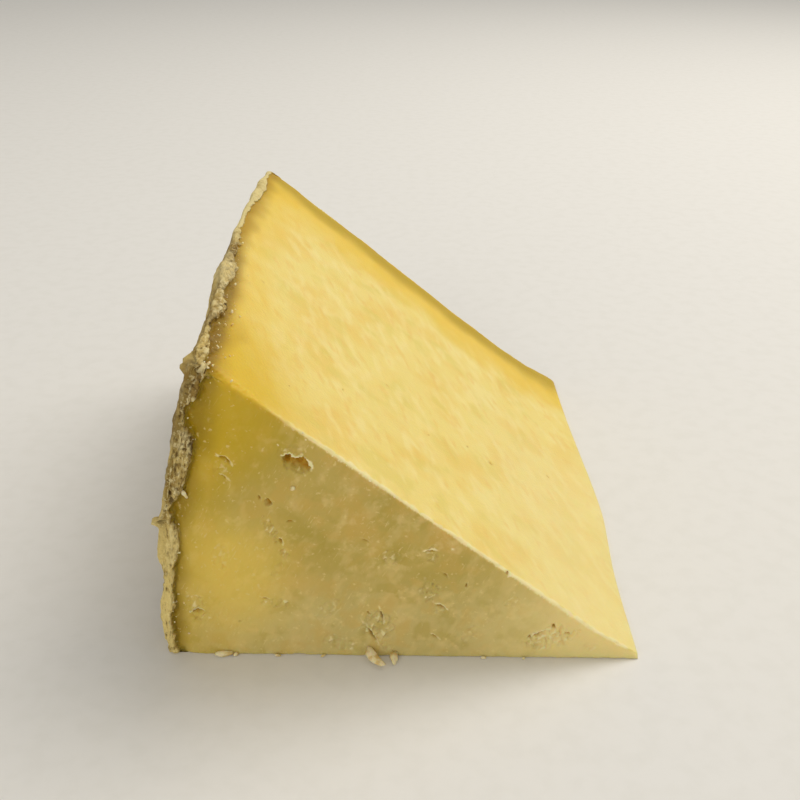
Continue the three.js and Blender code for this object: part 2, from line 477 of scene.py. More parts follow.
# Stretches of the broken end where thin flakes have come away in steps.
FLAKED = (
    Mark(-19.6, 4.6, 13.0, 6.4, 0.72, -8),
    Mark(-43.9, 15.6, 3.8, 10.6, 0.52, -26),
    Mark(-44.2, 25.8, 2.8, 5.4, 0.45, -8),
    Mark(-54.8, 7.8, 5.4, 10.0, 0.59, -20),
    Mark(-91.4, 12.2, 4.6, 5.0, 0.45, 0),
    Mark(-76.0, 31.0, 2.4, 11.0, 0.7, -22),
    Mark(-75.6, 21.0, 2.4, 5.0, 0.26, 14),
    Mark(-76.4, 13.5, 5.0, 2.2, 0.39, 0),
    Mark(-52.6, 25.3, 5.6, 3.6, 0.33, 20),
    Mark(-63.0, 3.4, 7.6, 3.0, 0.39, 20),
    Mark(-70.6, 47.4, 8.4, 5.4, 0.33, 20),
    Mark(-28.0, 14.5, 4.0, 2.4, 0.26, -20),
    Mark(-86.4, 25.0, 3.4, 5.0, 0.23, 26),
    Mark(-65.0, 12.0, 4.0, 6.0, 0.23, 30),
    Mark(-84.9, 45.2, 3.4, 5.6, 0.23, 0),
    Mark(-10.5, 3.2, 4.0, 3.0, 0.26, 0),
    Mark(-36.0, 6.2, 3.0, 4.4, 0.26, 20),
    Mark(-86.4, 55.6, 2.2, 3.0, 0.2, -20),
)

# Pits and scratches on the upper cut: across is the way up it from the thin edge, up is depth.
UPPER_PITS = (
    Mark(103.9, 52.7, 1.3, 0.9, 0.5, 0, 0.1),
    Mark(98.6, 56.2, 1.1, 1.1, 0.7, 0, 0.3),
    Mark(101.4, 45.0, 0.9, 0.7, 0.3, 0, 0.2),
    Mark(67.7, 45.1, 2.6, 0.6, 0.4, -30, 0.2),
    Mark(79.5, 28.3, 0.6, 1.4, 0.4, 20, 0.2),
    Mark(55.6, 35.4, 0.7, 0.7, 0.4, 0, 0.2),
    Mark(43.5, 43.6, 0.8, 1.4, 0.4, 0, 0.3),
    Mark(36.3, 43.1, 1.3, 1.0, 0.6, 0, 0.2),
    Mark(24.8, 65.0, 0.8, 1.2, 0.4, 0, 0.2),
    Mark(15.4, 58.3, 1.2, 0.9, 0.5, 0, 0.2),
    Mark(92.0, 14.5, 0.7, 0.6, 0.3, 0, 0.3),
)


@dataclass(frozen=True)
class Lump:
    """Rind that stands proud of the rest: where it is, how large, and which way it is drawn."""

    middle: tuple[float, float, float]
    size: tuple[float, float, float]
    draw: tuple[float, float, float]
    unevenness: float = 0.35

    def lift(self, place: Array) -> Array:
        """Gives how far each place is moved: all alike in the blocky middle, less beyond it.

        Args:
            place: The places.

        Returns:
            A move in x, y and z for each of them.
        """
        away = (place - np.array(self.middle)) / np.array(self.size)
        reach = (away**4).sum(-1) ** 0.25
        uneven = self.unevenness * layered_noise(place, 1.6, 2, seed=23)
        return smoothstep(reach + uneven, 1.0, 0.55)[:, None] * np.array(self.draw)


LUMPS = (
    Lump((-92.0, 3.0, 66.0), (1.9, 2.1, 2.1), (-1.5, -0.2, 0.2)),
    Lump((-97.8, 0.6, 32.6), (1.7, 1.6, 0.8), (-1.2, -0.6, 0.6)),
    Lump((-90.6, 46.0, 68.0), (3.0, 6.0, 3.0), (-0.3, 0.0, 0.3)),
)


# Where the rind's crumbled inner border is wider or narrower: by height on the broken end, then
# by depth on the upper cut.
FRINGE_UP = (
    Hump(-1.0, 58.0, 4.0, 3.5),
    Hump(1.1, 50.0, 5.0, 4.0),
    Hump(0.5, 42.0, 3.0, 3.0),
    Hump(-1.2, 35.5, 3.0, 3.0),
    Hump(0.7, 27.0, 5.0, 4.0),
    Hump(-1.2, 4.0, 9.0, 14.0),
)
FRINGE_ALONG = (
    Hump(-0.9, 15.0, 6.0, 6.0),
    Hump(0.9, 26.0, 5.0, 5.0),
    Hump(1.5, 47.5, 6.0, 3.5),
    Hump(0.6, 62.0, 5.0, 4.0),
    Hump(1.2, 107.0, 12.0, 17.0),
)

# Where the paste beside the rind has stayed pale: across the broken end and up it.
FRESH_ACROSS = Hump(1.0, -84.5, 8.5, 12.0)
FRESH_UP = Hump(1.0, 22.0, 18.0, 12.0)


# The skin: where its points are, before any fine relief


# How many places are measured against a border in one go, which keeps its tables small.
PLACES_AT_ONCE = 4000


@dataclass(frozen=True)
class Border:
    """A closed line of few points, each with its distance along the line."""

    points: Array
    along: Array

    def measure(self, places: Array) -> tuple[Array, Array]:
        """Measures places of the plane against the line.

        Args:
            places: The places.

        Returns:
            How deep each place lies inside the line, and how far along it the nearest point is.
        """
        ends = np.roll(self.points, -1, axis=0)
        stretch = ends - self.points
        length = np.linalg.norm(stretch, axis=-1)
        slope = stretch[:, 0] / np.where(stretch[:, 1] == 0, 1e-12, stretch[:, 1])
        depth, along = [], []
        for block in np.array_split(places, max(1, len(places) // PLACES_AT_ONCE)):
            away = block[:, None] - self.points[None]
            share = np.clip((away * stretch).sum(-1) / (length * length), 0.0, 1.0)
            gap = np.linalg.norm(away - share[..., None] * stretch, axis=-1)
            over = (self.points[:, 1] > block[:, 1:]) != (ends[:, 1] > block[:, 1:])
            crossing = self.points[:, 0] + slope * (block[:, 1:] - self.points[:, 1])
            inside = ((over & (block[:, :1] < crossing)).sum(-1) % 2) == 1
            pick = gap.argmin(-1)
            row = np.arange(len(block))
            depth.append(np.where(inside, 1.0, -1.0) * gap[row, pick])
            along.append(self.along[pick] + share[row, pick] * length[pick])
        return np.concatenate(depth), np.concatenate(along)


# How far points stray from an even grid and keep clear of its border, as shares of their spacing.
STRAY = 0.2
CLEAR = 0.45


def way_up_cut(section: Array) -> Array:
    """Distance of places of the section up the upper cut, from the thin edge."""
    return np.hypot(section[:, 0], section[:, 1])


def scatter(
    low: Array, high: Array, spacings: tuple[float, ...], level: Callable[[Array], Array]
) -> Array:
    """Lays points in a rectangle, closer together where a finer level is asked for.

    Args:
        low: Lowest corner.
        high: Highest corner.
        spacings: Distance between neighbours at each level.
        level: Gives the level wanted at each place, or -1 for none.

    Returns:
        The points that are kept.
    """
    random = np.random.default_rng(POINT_SEED)
    kept = []
    for number, spacing in enumerate(spacings):
        across = np.arange(low[0], high[0] + spacing, spacing)
        rows = np.arange(low[1], high[1] + spacing, spacing * math.sqrt(0.75))
        grid = np.stack(np.meshgrid(across, rows), -1)
        grid[1::2, :, 0] += spacing / 2
        grid = grid.reshape(-1, 2)
        grid = grid + random.uniform(-STRAY, STRAY, grid.shape) * spacing
        margin = CLEAR * spacing
        inside = np.all((grid > low + margin) & (grid < high - margin), axis=-1)
        grid = grid[inside]
        kept.append(grid[level(grid) == number])
    return np.concatenate(kept)


# What the triangulation keeps, and how close two points may be before they count as one.
ALL_SPANNED, INSIDE_BORDER = 0, 1
SAME_PLACE = 1e-7


def triangulate(points: Array, border: Array | None = None) -> Array:
    """Joins places of a plane with triangles.

    Args:
        points: The places.
        border: Numbers of the points round the outside, in order, or None for all they span.

    Returns:
        Three point numbers for each triangle, anticlockwise.
    """
    edges, kind = [], ALL_SPANNED
    if border is not None:
        edges = [(int(a), int(b)) for a, b in zip(border, np.roll(border, -1))]
        kind = INSIDE_BORDER
    made = delaunay_2d_cdt([Vector(p) for p in points], edges, [], kind, SAME_PLACE)
    source = [origins[0] for origins in made[3]]
    return np.array([[source[corner] for corner in face] for face in made[2]])


@dataclass
class Skin:
    """Points and triangles of the wedge's surface, with where each point is on it."""

    along: Array  # distance along the outline of the nearest point of it
    section: Array  # x and z of the plain prism
    depth: Array  # distance from the broken end
    on_side: Array  # whether it is on the sides, with the rims that they share with the ends
    facing: Array  # -1 on the broken end, 1 on the flat end, 0 between them
    inset: Array  # distance inside an end's rim
    faces: Array


@dataclass(frozen=True)
class SkinMaker:
    """Divides the wedge's surface into triangles, finer where there is more to show.

    Each step is the distance between neighbouring points of one stretch of the surface.
    """

    form: WedgeForm
    outline: Outline
    rind_step: float = 0.66
    border_step: float = 0.37
    fine_step: float = 0.24
    cut_step: float = 1.15
    end_step: float = 0.62
    back_step: float = 0.76
    floor_step: float = 4.0
    floor_rim_step: float = 0.8
    brow_step: float = 0.3
    nose_step: float = 0.4
    border_width: float = 4.6
    edge_width: float = 1.6
    nose_width: float = 3.0
    mark_margin: float = 0.9
    pit_margin: float = 0.7

    def _ring(self) -> Array:
        """Distances along the outline of the points that each end shares with the sides.

        Returns:
            The distances, in order.
        """
        steps = {
            Run.FLOOR_CUT: self.floor_rim_step,
            Run.FOOT: self.border_step,
            Run.RIND: self.border_step,
            Run.BROW: self.brow_step,
            Run.UPPER_CUT: self.border_step,
            Run.NOSE: self.nose_step,
        }
        limits = self.outline.limits
        parts = []
        for run, low, high in zip(Run, limits[:-1], limits[1:]):
            count = max(2, math.ceil((high - low) / steps[run]))
            parts.append(np.linspace(low, high, count, endpoint=False))
        return np.concatenate(parts)

    def _side_level(self, place: Array) -> Array:
        """Picks the level of detail for places of the unrolled sides.

        Args:
            place: Distance along the outline and depth of each.

        Returns:
            A level for each, 0 for the finest.
        """
        along, depth = place.T
        rind = (along > self.outline.start(Run.FOOT)) & (along < self.outline.start(Run.BROW))
        upper = along >= self.outline.start(Run.BROW)
        level = np.where(rind, 2, np.where(upper, 3, 4))
        near_brow = upper & (along < self.outline.start(Run.UPPER_CUT) + self.border_width)
        near_nose = along > self.outline.start(Run.NOSE) - self.nose_width
        from_ends = np.minimum(depth, self.form.depth - depth)
        near_end = (from_ends < self.edge_width) & (level > 1)
        level = np.where(near_brow | near_nose | (near_end & (upper | rind)), 1, level)
        level = np.where(near_end & ~upper & ~rind, 2, level)
        up_cut = way_up_cut(self.outline.point(along))
        for pit in UPPER_PITS:
            gap = np.hypot(up_cut - pit.across, depth - pit.up)
            level = np.where(upper & (gap < 0.8 * pit.width + self.pit_margin), 0, level)
        return level

    def _border(self, ring: Array) -> Border:
        """Thins the ring where it is straight, for quick measuring.

        Args:
            ring: Distances along the outline.

        Returns:
            The border that the kept points make.
        """
        bends = [Run.FOOT.value, Run.BROW.value, Run.NOSE.value]
        curved = np.isin(self.outline.run_number(ring), bends)
        kept = curved | (np.arange(len(ring)) % 8 == 0)
        return Border(self.outline.point(ring[kept]), ring[kept])

    def _end_steps(self, front: bool) -> tuple[float, ...]:
        """Gives the distance between neighbours at each level of detail of an end."""
        return (self.fine_step, self.border_step, self.end_step if front else self.back_step)

    def _end_level(self, border: Border, front: bool) -> Callable[[Array], Array]:
        """Makes the rule that picks the level of detail for places of one end.

        Args:
            border: The end's rim.
            front: Whether it is the broken end.

        Returns:
            The rule.
        """

        def level(place: Array) -> Array:
            """Picks the level for each place.

            Args:
                place: The places.

            Returns:
                A level for each, or -1 outside the rim.
            """
            inside, _ = border.measure(place)
            picked = np.full(len(place), 2)
            picked = np.where(inside < self.edge_width, 1, picked)
            if front:
                picked = np.where(self.form.rind_depth(place) < self.border_width, 1, picked)
                for mark in FISSURES + FLAKED:
                    close = mark.reach(*place.T) < 1.0 + self.mark_margin / mark.least
                    picked = np.where(close, 0, picked)
            spacing = np.array(self._end_steps(front))[picked]
            return np.where(inside > 0.5 * spacing, picked, -1)

        return level

    def _end(self, ring_points: Array, border: Border, front: bool) -> tuple[Array, Array]:
        """Fills one end.

        Args:
            ring_points: The end's border.
            border: The same border, for measuring.
            front: Whether it is the broken end.

        Returns:
            The points added inside, and triangles over border and added points.
        """
        low, high = ring_points.min(0), ring_points.max(0)
        inner = scatter(low, high, self._end_steps(front), self._end_level(border, front))
        faces = triangulate(np.concatenate([ring_points, inner]), np.arange(len(ring_points)))
        return inner, faces if front else faces[:, ::-1]

    def make(self) -> Skin:
        """Divides the whole surface.

        Returns:
            The skin, as one closed surface.
        """
        ring = self._ring()
        count = len(ring)
        whole = self.outline.length
        seam = np.arange(self.floor_step, self.form.depth - 1, self.floor_step)
        steps = (self.fine_step, self.border_step, self.rind_step, self.cut_step, self.floor_step)
        inner = scatter(np.zeros(2), np.array([whole, self.form.depth]), steps, self._side_level)
        along = np.concatenate([ring, ring, np.zeros(len(seam)), inner[:, 0]])
        rims = np.repeat([0.0, self.form.depth], count)
        depth = np.concatenate([rims, seam, inner[:, 1]])
        twins = np.concatenate([[0, count], 2 * count + np.arange(len(seam))])
        flat = np.concatenate([
            np.stack([along, depth], -1),
            np.stack([np.full(len(twins), whole), depth[twins]], -1),
        ])
        owner = np.concatenate([np.arange(len(along)), twins])
        sides = owner[triangulate(flat)]
        section = self.outline.point(along)
        ring_points = section[:count]
        border = self._border(ring)
        parts, end_points, insets = [sides], [], []
        for first, front in ((0, True), (count, False)):
            added, faces = self._end(ring_points, border, front)
            start = len(along) + sum(len(part) for part in end_points)
            names = np.concatenate([np.arange(first, first + count), start + np.arange(len(added))])
            parts.append(names[faces])
            end_points.append(added)
            insets.append(border.measure(added))
        total_end = sum(len(part) for part in end_points)
        facing = np.concatenate([
            np.full(count, -1.0),
            np.full(count, 1.0),
            np.zeros(len(along) - 2 * count),
            np.full(len(end_points[0]), -1.0),
            np.full(len(end_points[1]), 1.0),
        ])
        return Skin(
            along=np.concatenate([along] + [nearest for _, nearest in insets]),
            section=np.concatenate([section] + end_points),
            depth=np.concatenate([depth, np.where(facing[len(along):] < 0, 0.0, self.form.depth)]),
            on_side=np.arange(len(along) + total_end) < len(along),
            facing=facing,
            inset=np.concatenate([np.zeros(len(along))] + [inset for inset, _ in insets]),
            faces=np.concatenate(parts),
        )


# Fine relief, and what each place of the surface is


@dataclass(frozen=True)
class Surface:
    """The finished skin: where its points are and what its finish reads at each of them."""

    place: Array
    faces: Array
    traits: dict[str, Array]


@dataclass(frozen=True)
class Opened:
    """What cracks and holes do at each place."""

    depth: Array
    crevice: Array  # nearness to the deepest part
    lip: Array  # paleness of the lip: partly crumbled curd, partly painted highlight


@dataclass(frozen=True)
class Wear:
    """What ageing, cutting and breaking did at each place, for its relief and its finish."""

    share: Array  # how much of the side is rind
    crust: Array  # how far inside the rind's inner border
    in_rind: Array  # the same as a soft step from 0 to 1
    calm: Array  # below 1 where the rind is rubbed smooth
    fine: Array  # height of the rind's fine relief
    rind_pit: Array
    fringe: Array  # 0 in the rind's close outer band, 1 in its crumbled fringe
    fissures: Opened
    pits: Opened
    flaked: Array
    flake_pale: Array
    edge: Array  # width of the worn edge between an end and the sides


def rounded_edge(distance: Array, size: Array) -> tuple[Array, Array]:
    """Rounds an edge between two faces that stand square to each other.

    Args:
        distance: How far each place is from the edge along its own face.
        size: The rounding's radius at each place.

    Returns:
        How far each place moves away from the edge, and how far into its face.
    """
    lean = math.pi / 4 * np.clip(1.0 - distance / size, 0.0, 1.0)
    away = np.where(distance < size, size * (1.0 - np.sin(lean)) - distance, 0.0)
    return away, size * (1.0 - np.cos(lean))


@dataclass(frozen=True)
class Weathering:
    """Ages the wedge: rind crags and pits, crumbled borders, openings and flaked stretches."""

    form: WedgeForm
    outline: Outline
    end_thickness: float = 2.9  # the rind's, where the broken end shows it
    cut_thickness: float = 2.1  # and where the upper cut does
    thin_rind: float = 1.3  # the same past the middle of the wedge
    thinning: tuple[float, float] = (56.0, 84.0)
    back_rind: float = 0.6  # where the flat end meets the lower cut
    bare_rim: float = 0.9  # paste that shows along the flat end's upper rim
    ragged: float = 1.2  # how far the rind's inner border strays
    frayed: float = 0.8  # and how far its teeth do
    outer_band: float = 1.2  # the close layer outside the crumbled fringe
    rind_layer: tuple[float, float, float] = (0.5, 2.4, 2.6)
    pit_spacing: tuple[float, float, float] = (1.3, 2.4, 2.4)
    pit_depth: float = 0.45
    all_rind: float = 0.9  # share of rind above which a place is on the rind's outer face
    smoothing: tuple[float, float] = (58.0, 76.0)  # where the rind's upper border turns smooth
    smoothed: float = 0.85
    front_edge: tuple[float, ...] = (0.6, 1.2, 1.3, 1.4, 1.4, 1.6)  # one for each run
    back_edge: tuple[float, ...] = (0.8, 1.6, 1.7, 0.7, 0.6, 1.2)
    soft_corner: float = 4.2  # more wear on the front edge beside the rind's top corner
    soft_run: float = 8.0
    flake_lean: float = math.radians(60.0)
    flake_size: tuple[float, float] = (1.5, 0.85)
    lip_rise: float = 0.14
    curd_rise: float = 0.05
    rind_rise: float = 0.2  # how far the rind stands above the paste beside it

    def _upper(self, skin: Skin) -> Array:
        """Tells which places of the sides are on the upper cut or the rounding before it."""
        return skin.on_side & (skin.along >= self.outline.start(Run.BROW))

    def _past_edge(self, skin: Skin) -> Array:
        """Distance past the front edge: onto the broken end, or below 0 back along the sides."""
        return np.where(skin.on_side, -skin.depth, skin.inset * (skin.facing < 0))

    def _from_ends(self, skin: Skin) -> Array:
        """Distance along the wedge to the nearer end."""
        return np.minimum(skin.depth, self.form.depth - skin.depth)

    def _crust(self, skin: Skin, place: Array) -> Array:
        """Gives how far each place is inside the rind's border, in millimetres.

        Args:
            skin: The skin.
            place: Where its points are.

        Returns:
            Positive where there is rind, negative where there is paste.
        """
        inward = self.form.rind_depth(skin.section)
        from_back = self.form.depth - skin.depth
        thin = smoothstep(place[:, 1], *self.thinning)
        near_front = smoothstep(place[:, 1], 7.0, 0.0)
        thickness = self.cut_thickness + (self.thin_rind - self.cut_thickness) * thin
        thickness += sum(hump.height(place[:, 1]) for hump in FRINGE_ALONG)
        on_end = self.end_thickness + sum(hump.height(place[:, 2]) for hump in FRINGE_UP)
        thickness += (on_end - thickness) * near_front
        ragged = self.ragged * layered_noise(place, 4.0, 2, seed=3) * (1.0 - 0.5 * thin)
        frayed = self.frayed * layered_noise(place, 1.3, 2, seed=7) * (1.0 - 0.6 * thin)
        side = thickness + ragged + frayed - inward
        back = self.back_rind + 0.4 * layered_noise(place, 6.0, 2, seed=4) - from_back
        by_upper_cut = skin.along > self.outline.start(Run.UPPER_CUT) + 1.5
        crust = np.where(by_upper_cut, side, np.maximum(side, back))
        outer = np.maximum(self.outline.rind_share(skin.along) * skin.on_side, skin.facing > 0)
        crust = np.where(outer > self.all_rind, np.maximum(crust, 1.0), crust)
        rim = skin.inset - self.bare_rim * (1.0 + 0.6 * layered_noise(place, 2.0, 2, seed=28))
        return np.where(by_upper_cut & (skin.facing > 0), np.minimum(crust, rim), crust)

    def _edge_size(self, skin: Skin, place: Array) -> Array:
        """Gives the width of the worn edge between an end and the sides at each place.

        Args:
            skin: The plain skin.
            place: Where its points are.

        Returns:
            Millimetres at each of them.
        """
        run = self.outline.run_number(skin.along)
        in_front = place[:, 1] < self.form.depth / 2
        size = np.where(in_front, np.array(self.front_edge)[run], np.array(self.back_edge)[run])
        past_brow = (skin.along - self.outline.start(Run.UPPER_CUT)) / self.soft_run
        soft = self.soft_corner * np.exp(-past_brow * past_brow)
        worn = 0.75 + 0.7 * layered_noise(place, 1.5, 2, seed=8)
        chips = 0.8 * smoothstep(layered_noise(place, 5.5, 2, seed=9), 0.38, 0.6)
        more = (chips + soft * (run >= Run.BROW.value)) * in_front
        return size * np.clip(worn, 0.15, 2.0) + more

    def _calm(self, skin: Skin, place: Array) -> Array:
        """Gives how rough the rind has stayed: less by its upper border, past the middle.

        Args:
            skin: The plain skin.
            place: Where its points are.

        Returns:
            1 where it is as rough as ever, less where it is smooth.
        """
        brow = self.outline.start(Run.BROW)
        by_brow = smoothstep(skin.along, brow - 6.0, brow - 1.0) * skin.on_side
        return 1.0 - self.smoothed * smoothstep(place[:, 1], *self.smoothing) * by_brow

    def _rind_height(self, skin: Skin, place: Array) -> tuple[Array, Array, Array]:
        """Gives the rind's fine relief.

        Its layers lie along its own face, so that on the cuts they show as drawn-out ridges:
        close and smooth in the outer band, open and flaky in the fringe inside it.

        Args:
            skin: The skin.
            place: Where its points are.

        Returns:
            The relief's height, how deep each place is in a pit, and how far it is in the fringe.
        """
        inward = np.maximum(self.form.rind_depth(skin.section), 0.0)
        outside = self.outline.rind_share(skin.along) * skin.on_side > self.all_rind
        outside = outside | (skin.facing > 0)
        layers = np.stack([inward, place[:, 1], place[:, 2]], -1) / np.array(self.rind_layer)
        ridges = smooth_noise(layers) + 0.5 * smooth_noise(2.1 * layers + 5.0)
        grains = scattered_grains(place / np.array(self.pit_spacing), 1)
        radius = 0.05 + 0.3 * grains.tag
        rarest = 0.45 + np.where(outside, 0.3, 0.0)
        pit = smoothstep(grains.gap, radius, 0.4 * radius)
        pit = pit * smoothstep(grains.tag, rarest, rarest + 0.2)
        band = self.outer_band * (1.0 + 0.5 * layered_noise(place, 3.0, 2, seed=25))
        band = band * (1.0 - 0.6 * self._upper(skin))
        fringe = np.where(outside, 0.6, smoothstep(inward, 0.8 * band, 1.3 * band))
        flaky = np.where(outside, 0.4, 0.6) * layered_noise(place, 2.4, 3, seed=5)
        fine = np.where(outside, 0.2, 0.36) * layered_noise(place, 0.85, 2, seed=6)
        height = (flaky + 0.25 * ridges + fine) * (0.3 + 0.7 * fringe)
        height = height + np.where(outside, 0.0, 0.25 * fringe)
        return height - self.pit_depth * pit, pit, fringe

    def _openings(
        self, marks: tuple[Mark, ...], across: Array, up: Array, place: Array
    ) -> Opened:
        """Opens cracks and holes: deep under a ragged lip, with a floor that rises away from it.

        Args:
            marks: The openings.
            across: The face's first coordinate of each place.
            up: Its second.
            place: The places.

        Returns:
            What they do at each place.
        """
        depth = np.zeros(len(place))
        crevice = np.zeros(len(place))
        lip = np.zeros(len(place))
        jag = [layered_noise(place, 1.3, 2, seed) for seed in (12, 13)]
        tear = [layered_noise(place, 0.45, 1, seed) for seed in (14, 15)]
        uneven = 0.8 + 0.4 * layered_noise(place, 1.0, 2, seed=16)
        for mark in marks:
            close = mark.reach(across, up) < 3.5 + 1.0 / mark.least
            shift = min(1.5, 0.62 * mark.least)
            moved = [
                line[close] + shift * jag[n][close] + 0.35 * min(shift, 0.7) * tear[n][close]
                for n, line in enumerate((across, up))
            ]
            along, over = mark.local(*moved)
            lipward = over if mark.width >= mark.height else along
            open_share = 1.0 - np.hypot(along, over)
            into = smoothstep(open_share, -0.02, np.clip(0.22 / mark.least, 0.1, 0.5))
            floor = 0.2 + 0.8 * smoothstep(lipward, -0.8, 0.6)
            depth[close] = np.maximum(depth[close], mark.depth * into * floor * uneven[close])
            # The deepest part, under the lip, is painted darker gold: partly the curd's colour
            # inside the crack, partly painted shade.
            deepest = into * smoothstep(lipward, -0.7, 0.4)
            crevice[close] = np.maximum(crevice[close], deepest)
            # The pale band lies on the lip's side only: partly crumbled curd, partly painted
            # highlight where the lip catches the light.
            outside = np.clip(-open_share, 0.0, None) * mark.least
            width = (0.26 + 0.22 * mark.least) * (0.8 + 1.2 * jag[0][close])
            band = smoothstep(outside, width, 0.5 * width) * (1.0 - into)
            band *= smoothstep(lipward + 0.8 * jag[1][close], -0.1, 0.5)
            lip[close] = np.maximum(lip[close], mark.lip * band)
        return Opened(depth, crevice, lip)

    def _flaked(self, across: Array, up: Array, place: Array) -> tuple[Array, Array]:
        """Lifts flakes off the broken end: each leaves a small tilted facet at its own depth.

        Args:
            across: The end's first coordinate of each place.
            up: Its second.
            place: The places.

        Returns:
            Depth in millimetres, and how pale each place is.
        """
        along = across * math.cos(self.flake_lean) + up * math.sin(self.flake_lean)
        over = up * math.cos(self.flake_lean) - across * math.sin(self.flake_lean)
        warp = 0.35 * layered_noise(place, 1.3, 2, seed=17)
        long, short = self.flake_size
        level = np.full(len(place), 0.4)
        seats = np.stack([along / long + warp, over / short - warp, level], -1)
        grains = scattered_grains(seats, 2)
        turn = 2 * math.pi * grains.other_tag(1)
        tilt = grains.away[:, 0] * np.cos(turn) + grains.away[:, 1] * np.sin(turn)
        facet = np.clip(0.05 + 0.75 * grains.tag + 0.8 * tilt, 0.0, 1.0)
        bright = smoothstep(grains.other_tag(2), 0.6, 0.8) * smoothstep(tilt, 0.1, -0.3)
        border = layered_noise(place, 2.6, 3, seed=18)
        depth = np.zeros(len(place))
        pale = np.zeros(len(place))
        for mark in FLAKED:
            weight = smoothstep(mark.reach(across, up) + border, 1.1, 0.7)
            depth = np.maximum(depth, mark.depth * weight * facet)
            pale = np.maximum(pale, weight * (0.1 + 0.55 * bright) * min(1.0, mark.depth / 0.4))
        return depth, pale

    def _valley(self, crust: Array, place: Array) -> Array:
        """Gives how far the paste has sunk down beside the rind's border.

        Args:
            crust: How far each place is inside that border.
            place: The places.

        Returns:
            Millimetres inward at each of them.
        """
        beside = np.clip(-crust, 0.0, None)
        patchy = smoothstep(layered_noise(place, 9.0, 2, seed=19), -0.6, 0.3)
        open_gap = 0.4 * np.exp(-(((crust + 0.35) / 0.35) ** 2))
        sunk = 0.9 * np.exp(-((beside / 2.6) ** 2)) * (crust < 0)
        return patchy * (open_gap + sunk)

    def _wear(self, skin: Skin, place: Array) -> Wear:
        """Works out what happened at each place of the plain wedge.

        Args:
            skin: The plain skin.
            place: Where its points are.

        Returns:
            The wear.
        """
        crust = self._crust(skin, place)
        calm = self._calm(skin, place)
        fine, rind_pit, fringe = self._rind_height(skin, place)
        flaked, flake_pale = self._flaked(*skin.section.T, place)
        up_cut = way_up_cut(place[:, [0, 2]])
        return Wear(
            share=self.outline.rind_share(skin.along) * skin.on_side,
            crust=crust,
            in_rind=smoothstep(crust, -0.1, 0.2),
            calm=calm,
            fine=fine * calm,
            rind_pit=rind_pit,
            fringe=fringe,
            fissures=self._openings(FISSURES, *skin.section.T, place),
            pits=self._openings(UPPER_PITS, up_cut, place[:, 1], place),
            flaked=flaked,
            flake_pale=flake_pale,
            edge=self._edge_size(skin, place),
        )

    def _carve(self, skin: Skin, place: Array, wear: Wear) -> Array:
        """Moves each place by its relief and rounds the edges of both ends.

        Args:
            skin: The plain skin.
            place: Where its points are.
            wear: What happened to them.

        Returns:
            Where the points are then.
        """
        coarse_rind = self.form.rind_crags.relief(place)
        coarse_cut = self.form.cut_crags.relief(place)
        quiet = smoothstep(place[:, 2], 0.0, 1.2)
        curd = self.curd_rise * layered_noise(place, 2.4, 3, seed=20)
        valley = self._valley(wear.crust, place) * np.maximum(wear.calm, 0.35)
        risen = self.rind_rise * wear.calm + wear.fine
        cut_fine = curd + wear.in_rind * risen - (1.0 - wear.in_rind) * valley

        on_cut = np.where(self._upper(skin), cut_fine - wear.pits.depth, 0.0)
        side = coarse_cut + (coarse_rind - coarse_cut) * wear.share
        side += wear.share * wear.fine * quiet + (1.0 - wear.share) * on_cut
        side_away, side_into = rounded_edge(self._from_ends(skin), wear.edge)

        broken = np.maximum(wear.fissures.depth, wear.flaked) - self.lip_rise * wear.fissures.lip
        end = np.where(skin.facing > 0, coarse_rind + wear.fine * quiet, coarse_cut + cut_fine)
        end -= np.where(skin.facing < 0, broken, 0.0)
        end_away, end_into = rounded_edge(skin.inset, wear.edge)

        outward = self.outline.direction(skin.along)
        out = np.where(skin.on_side, side - side_into, -end_away)
        inward = side_away * np.where(skin.depth < self.form.depth / 2, 1.0, -1.0)
        ahead = np.where(skin.facing == 0, inward, (end - end_into) * skin.facing)
        carved = place + np.stack([out * outward[:, 0], ahead, out * outward[:, 1]], -1)
        carved = carved + sum(lump.lift(carved) for lump in LUMPS)
        carved[:, 2] = np.maximum(carved[:, 2], 0.0)
        return carved

    def _crumbly(self, skin: Skin, place: Array) -> Array:
        """Gives how crumbled the edge between the broken end and the upper cut is.

        Args:
            skin: The plain skin.
            place: Where its points are.

        Returns:
            A share from 0 to 1 at each of them.
        """
        brow, nose = self.outline.start(Run.BROW), self.outline.start(Run.NOSE)
        past_edge = self._past_edge(skin)
        band = 0.4 + 0.8 * smoothstep(-past_edge, -0.2, 0.2)
        band = band * (1.0 + 0.9 * layered_noise(place, 1.2, 2, seed=21))
        crumbly = smoothstep(np.abs(past_edge), band, 0.45 * band) * (place[:, 1] < 6.0)
        crumbly *= smoothstep(skin.along, brow + 10.0, brow + 32.0)
        return crumbly * smoothstep(nose - skin.along, -0.5, 1.0)

    def _rubbed(self, skin: Skin, place: Array, calm: Array) -> Array:
        """Gives how far the rind's smooth upper border is rubbed clean of its bloom.

        Args:
            skin: The plain skin.
            place: Where its points are.
            calm: How rough the rind has stayed.

        Returns:
            A share from 0 to 1 at each of them.
        """
        past_brow = skin.along - self.outline.start(Run.BROW)
        past_brow = past_brow + 2.5 * layered_noise(place, 5.0, 2, seed=27)
        rubbed = np.clip((1.0 - calm) / self.smoothed, 0.0, 1.0)
        rubbed = rubbed * smoothstep(self._from_ends(skin), 0.4, 1.4)
        return rubbed * smoothstep(past_brow, -2.5, 0.0)

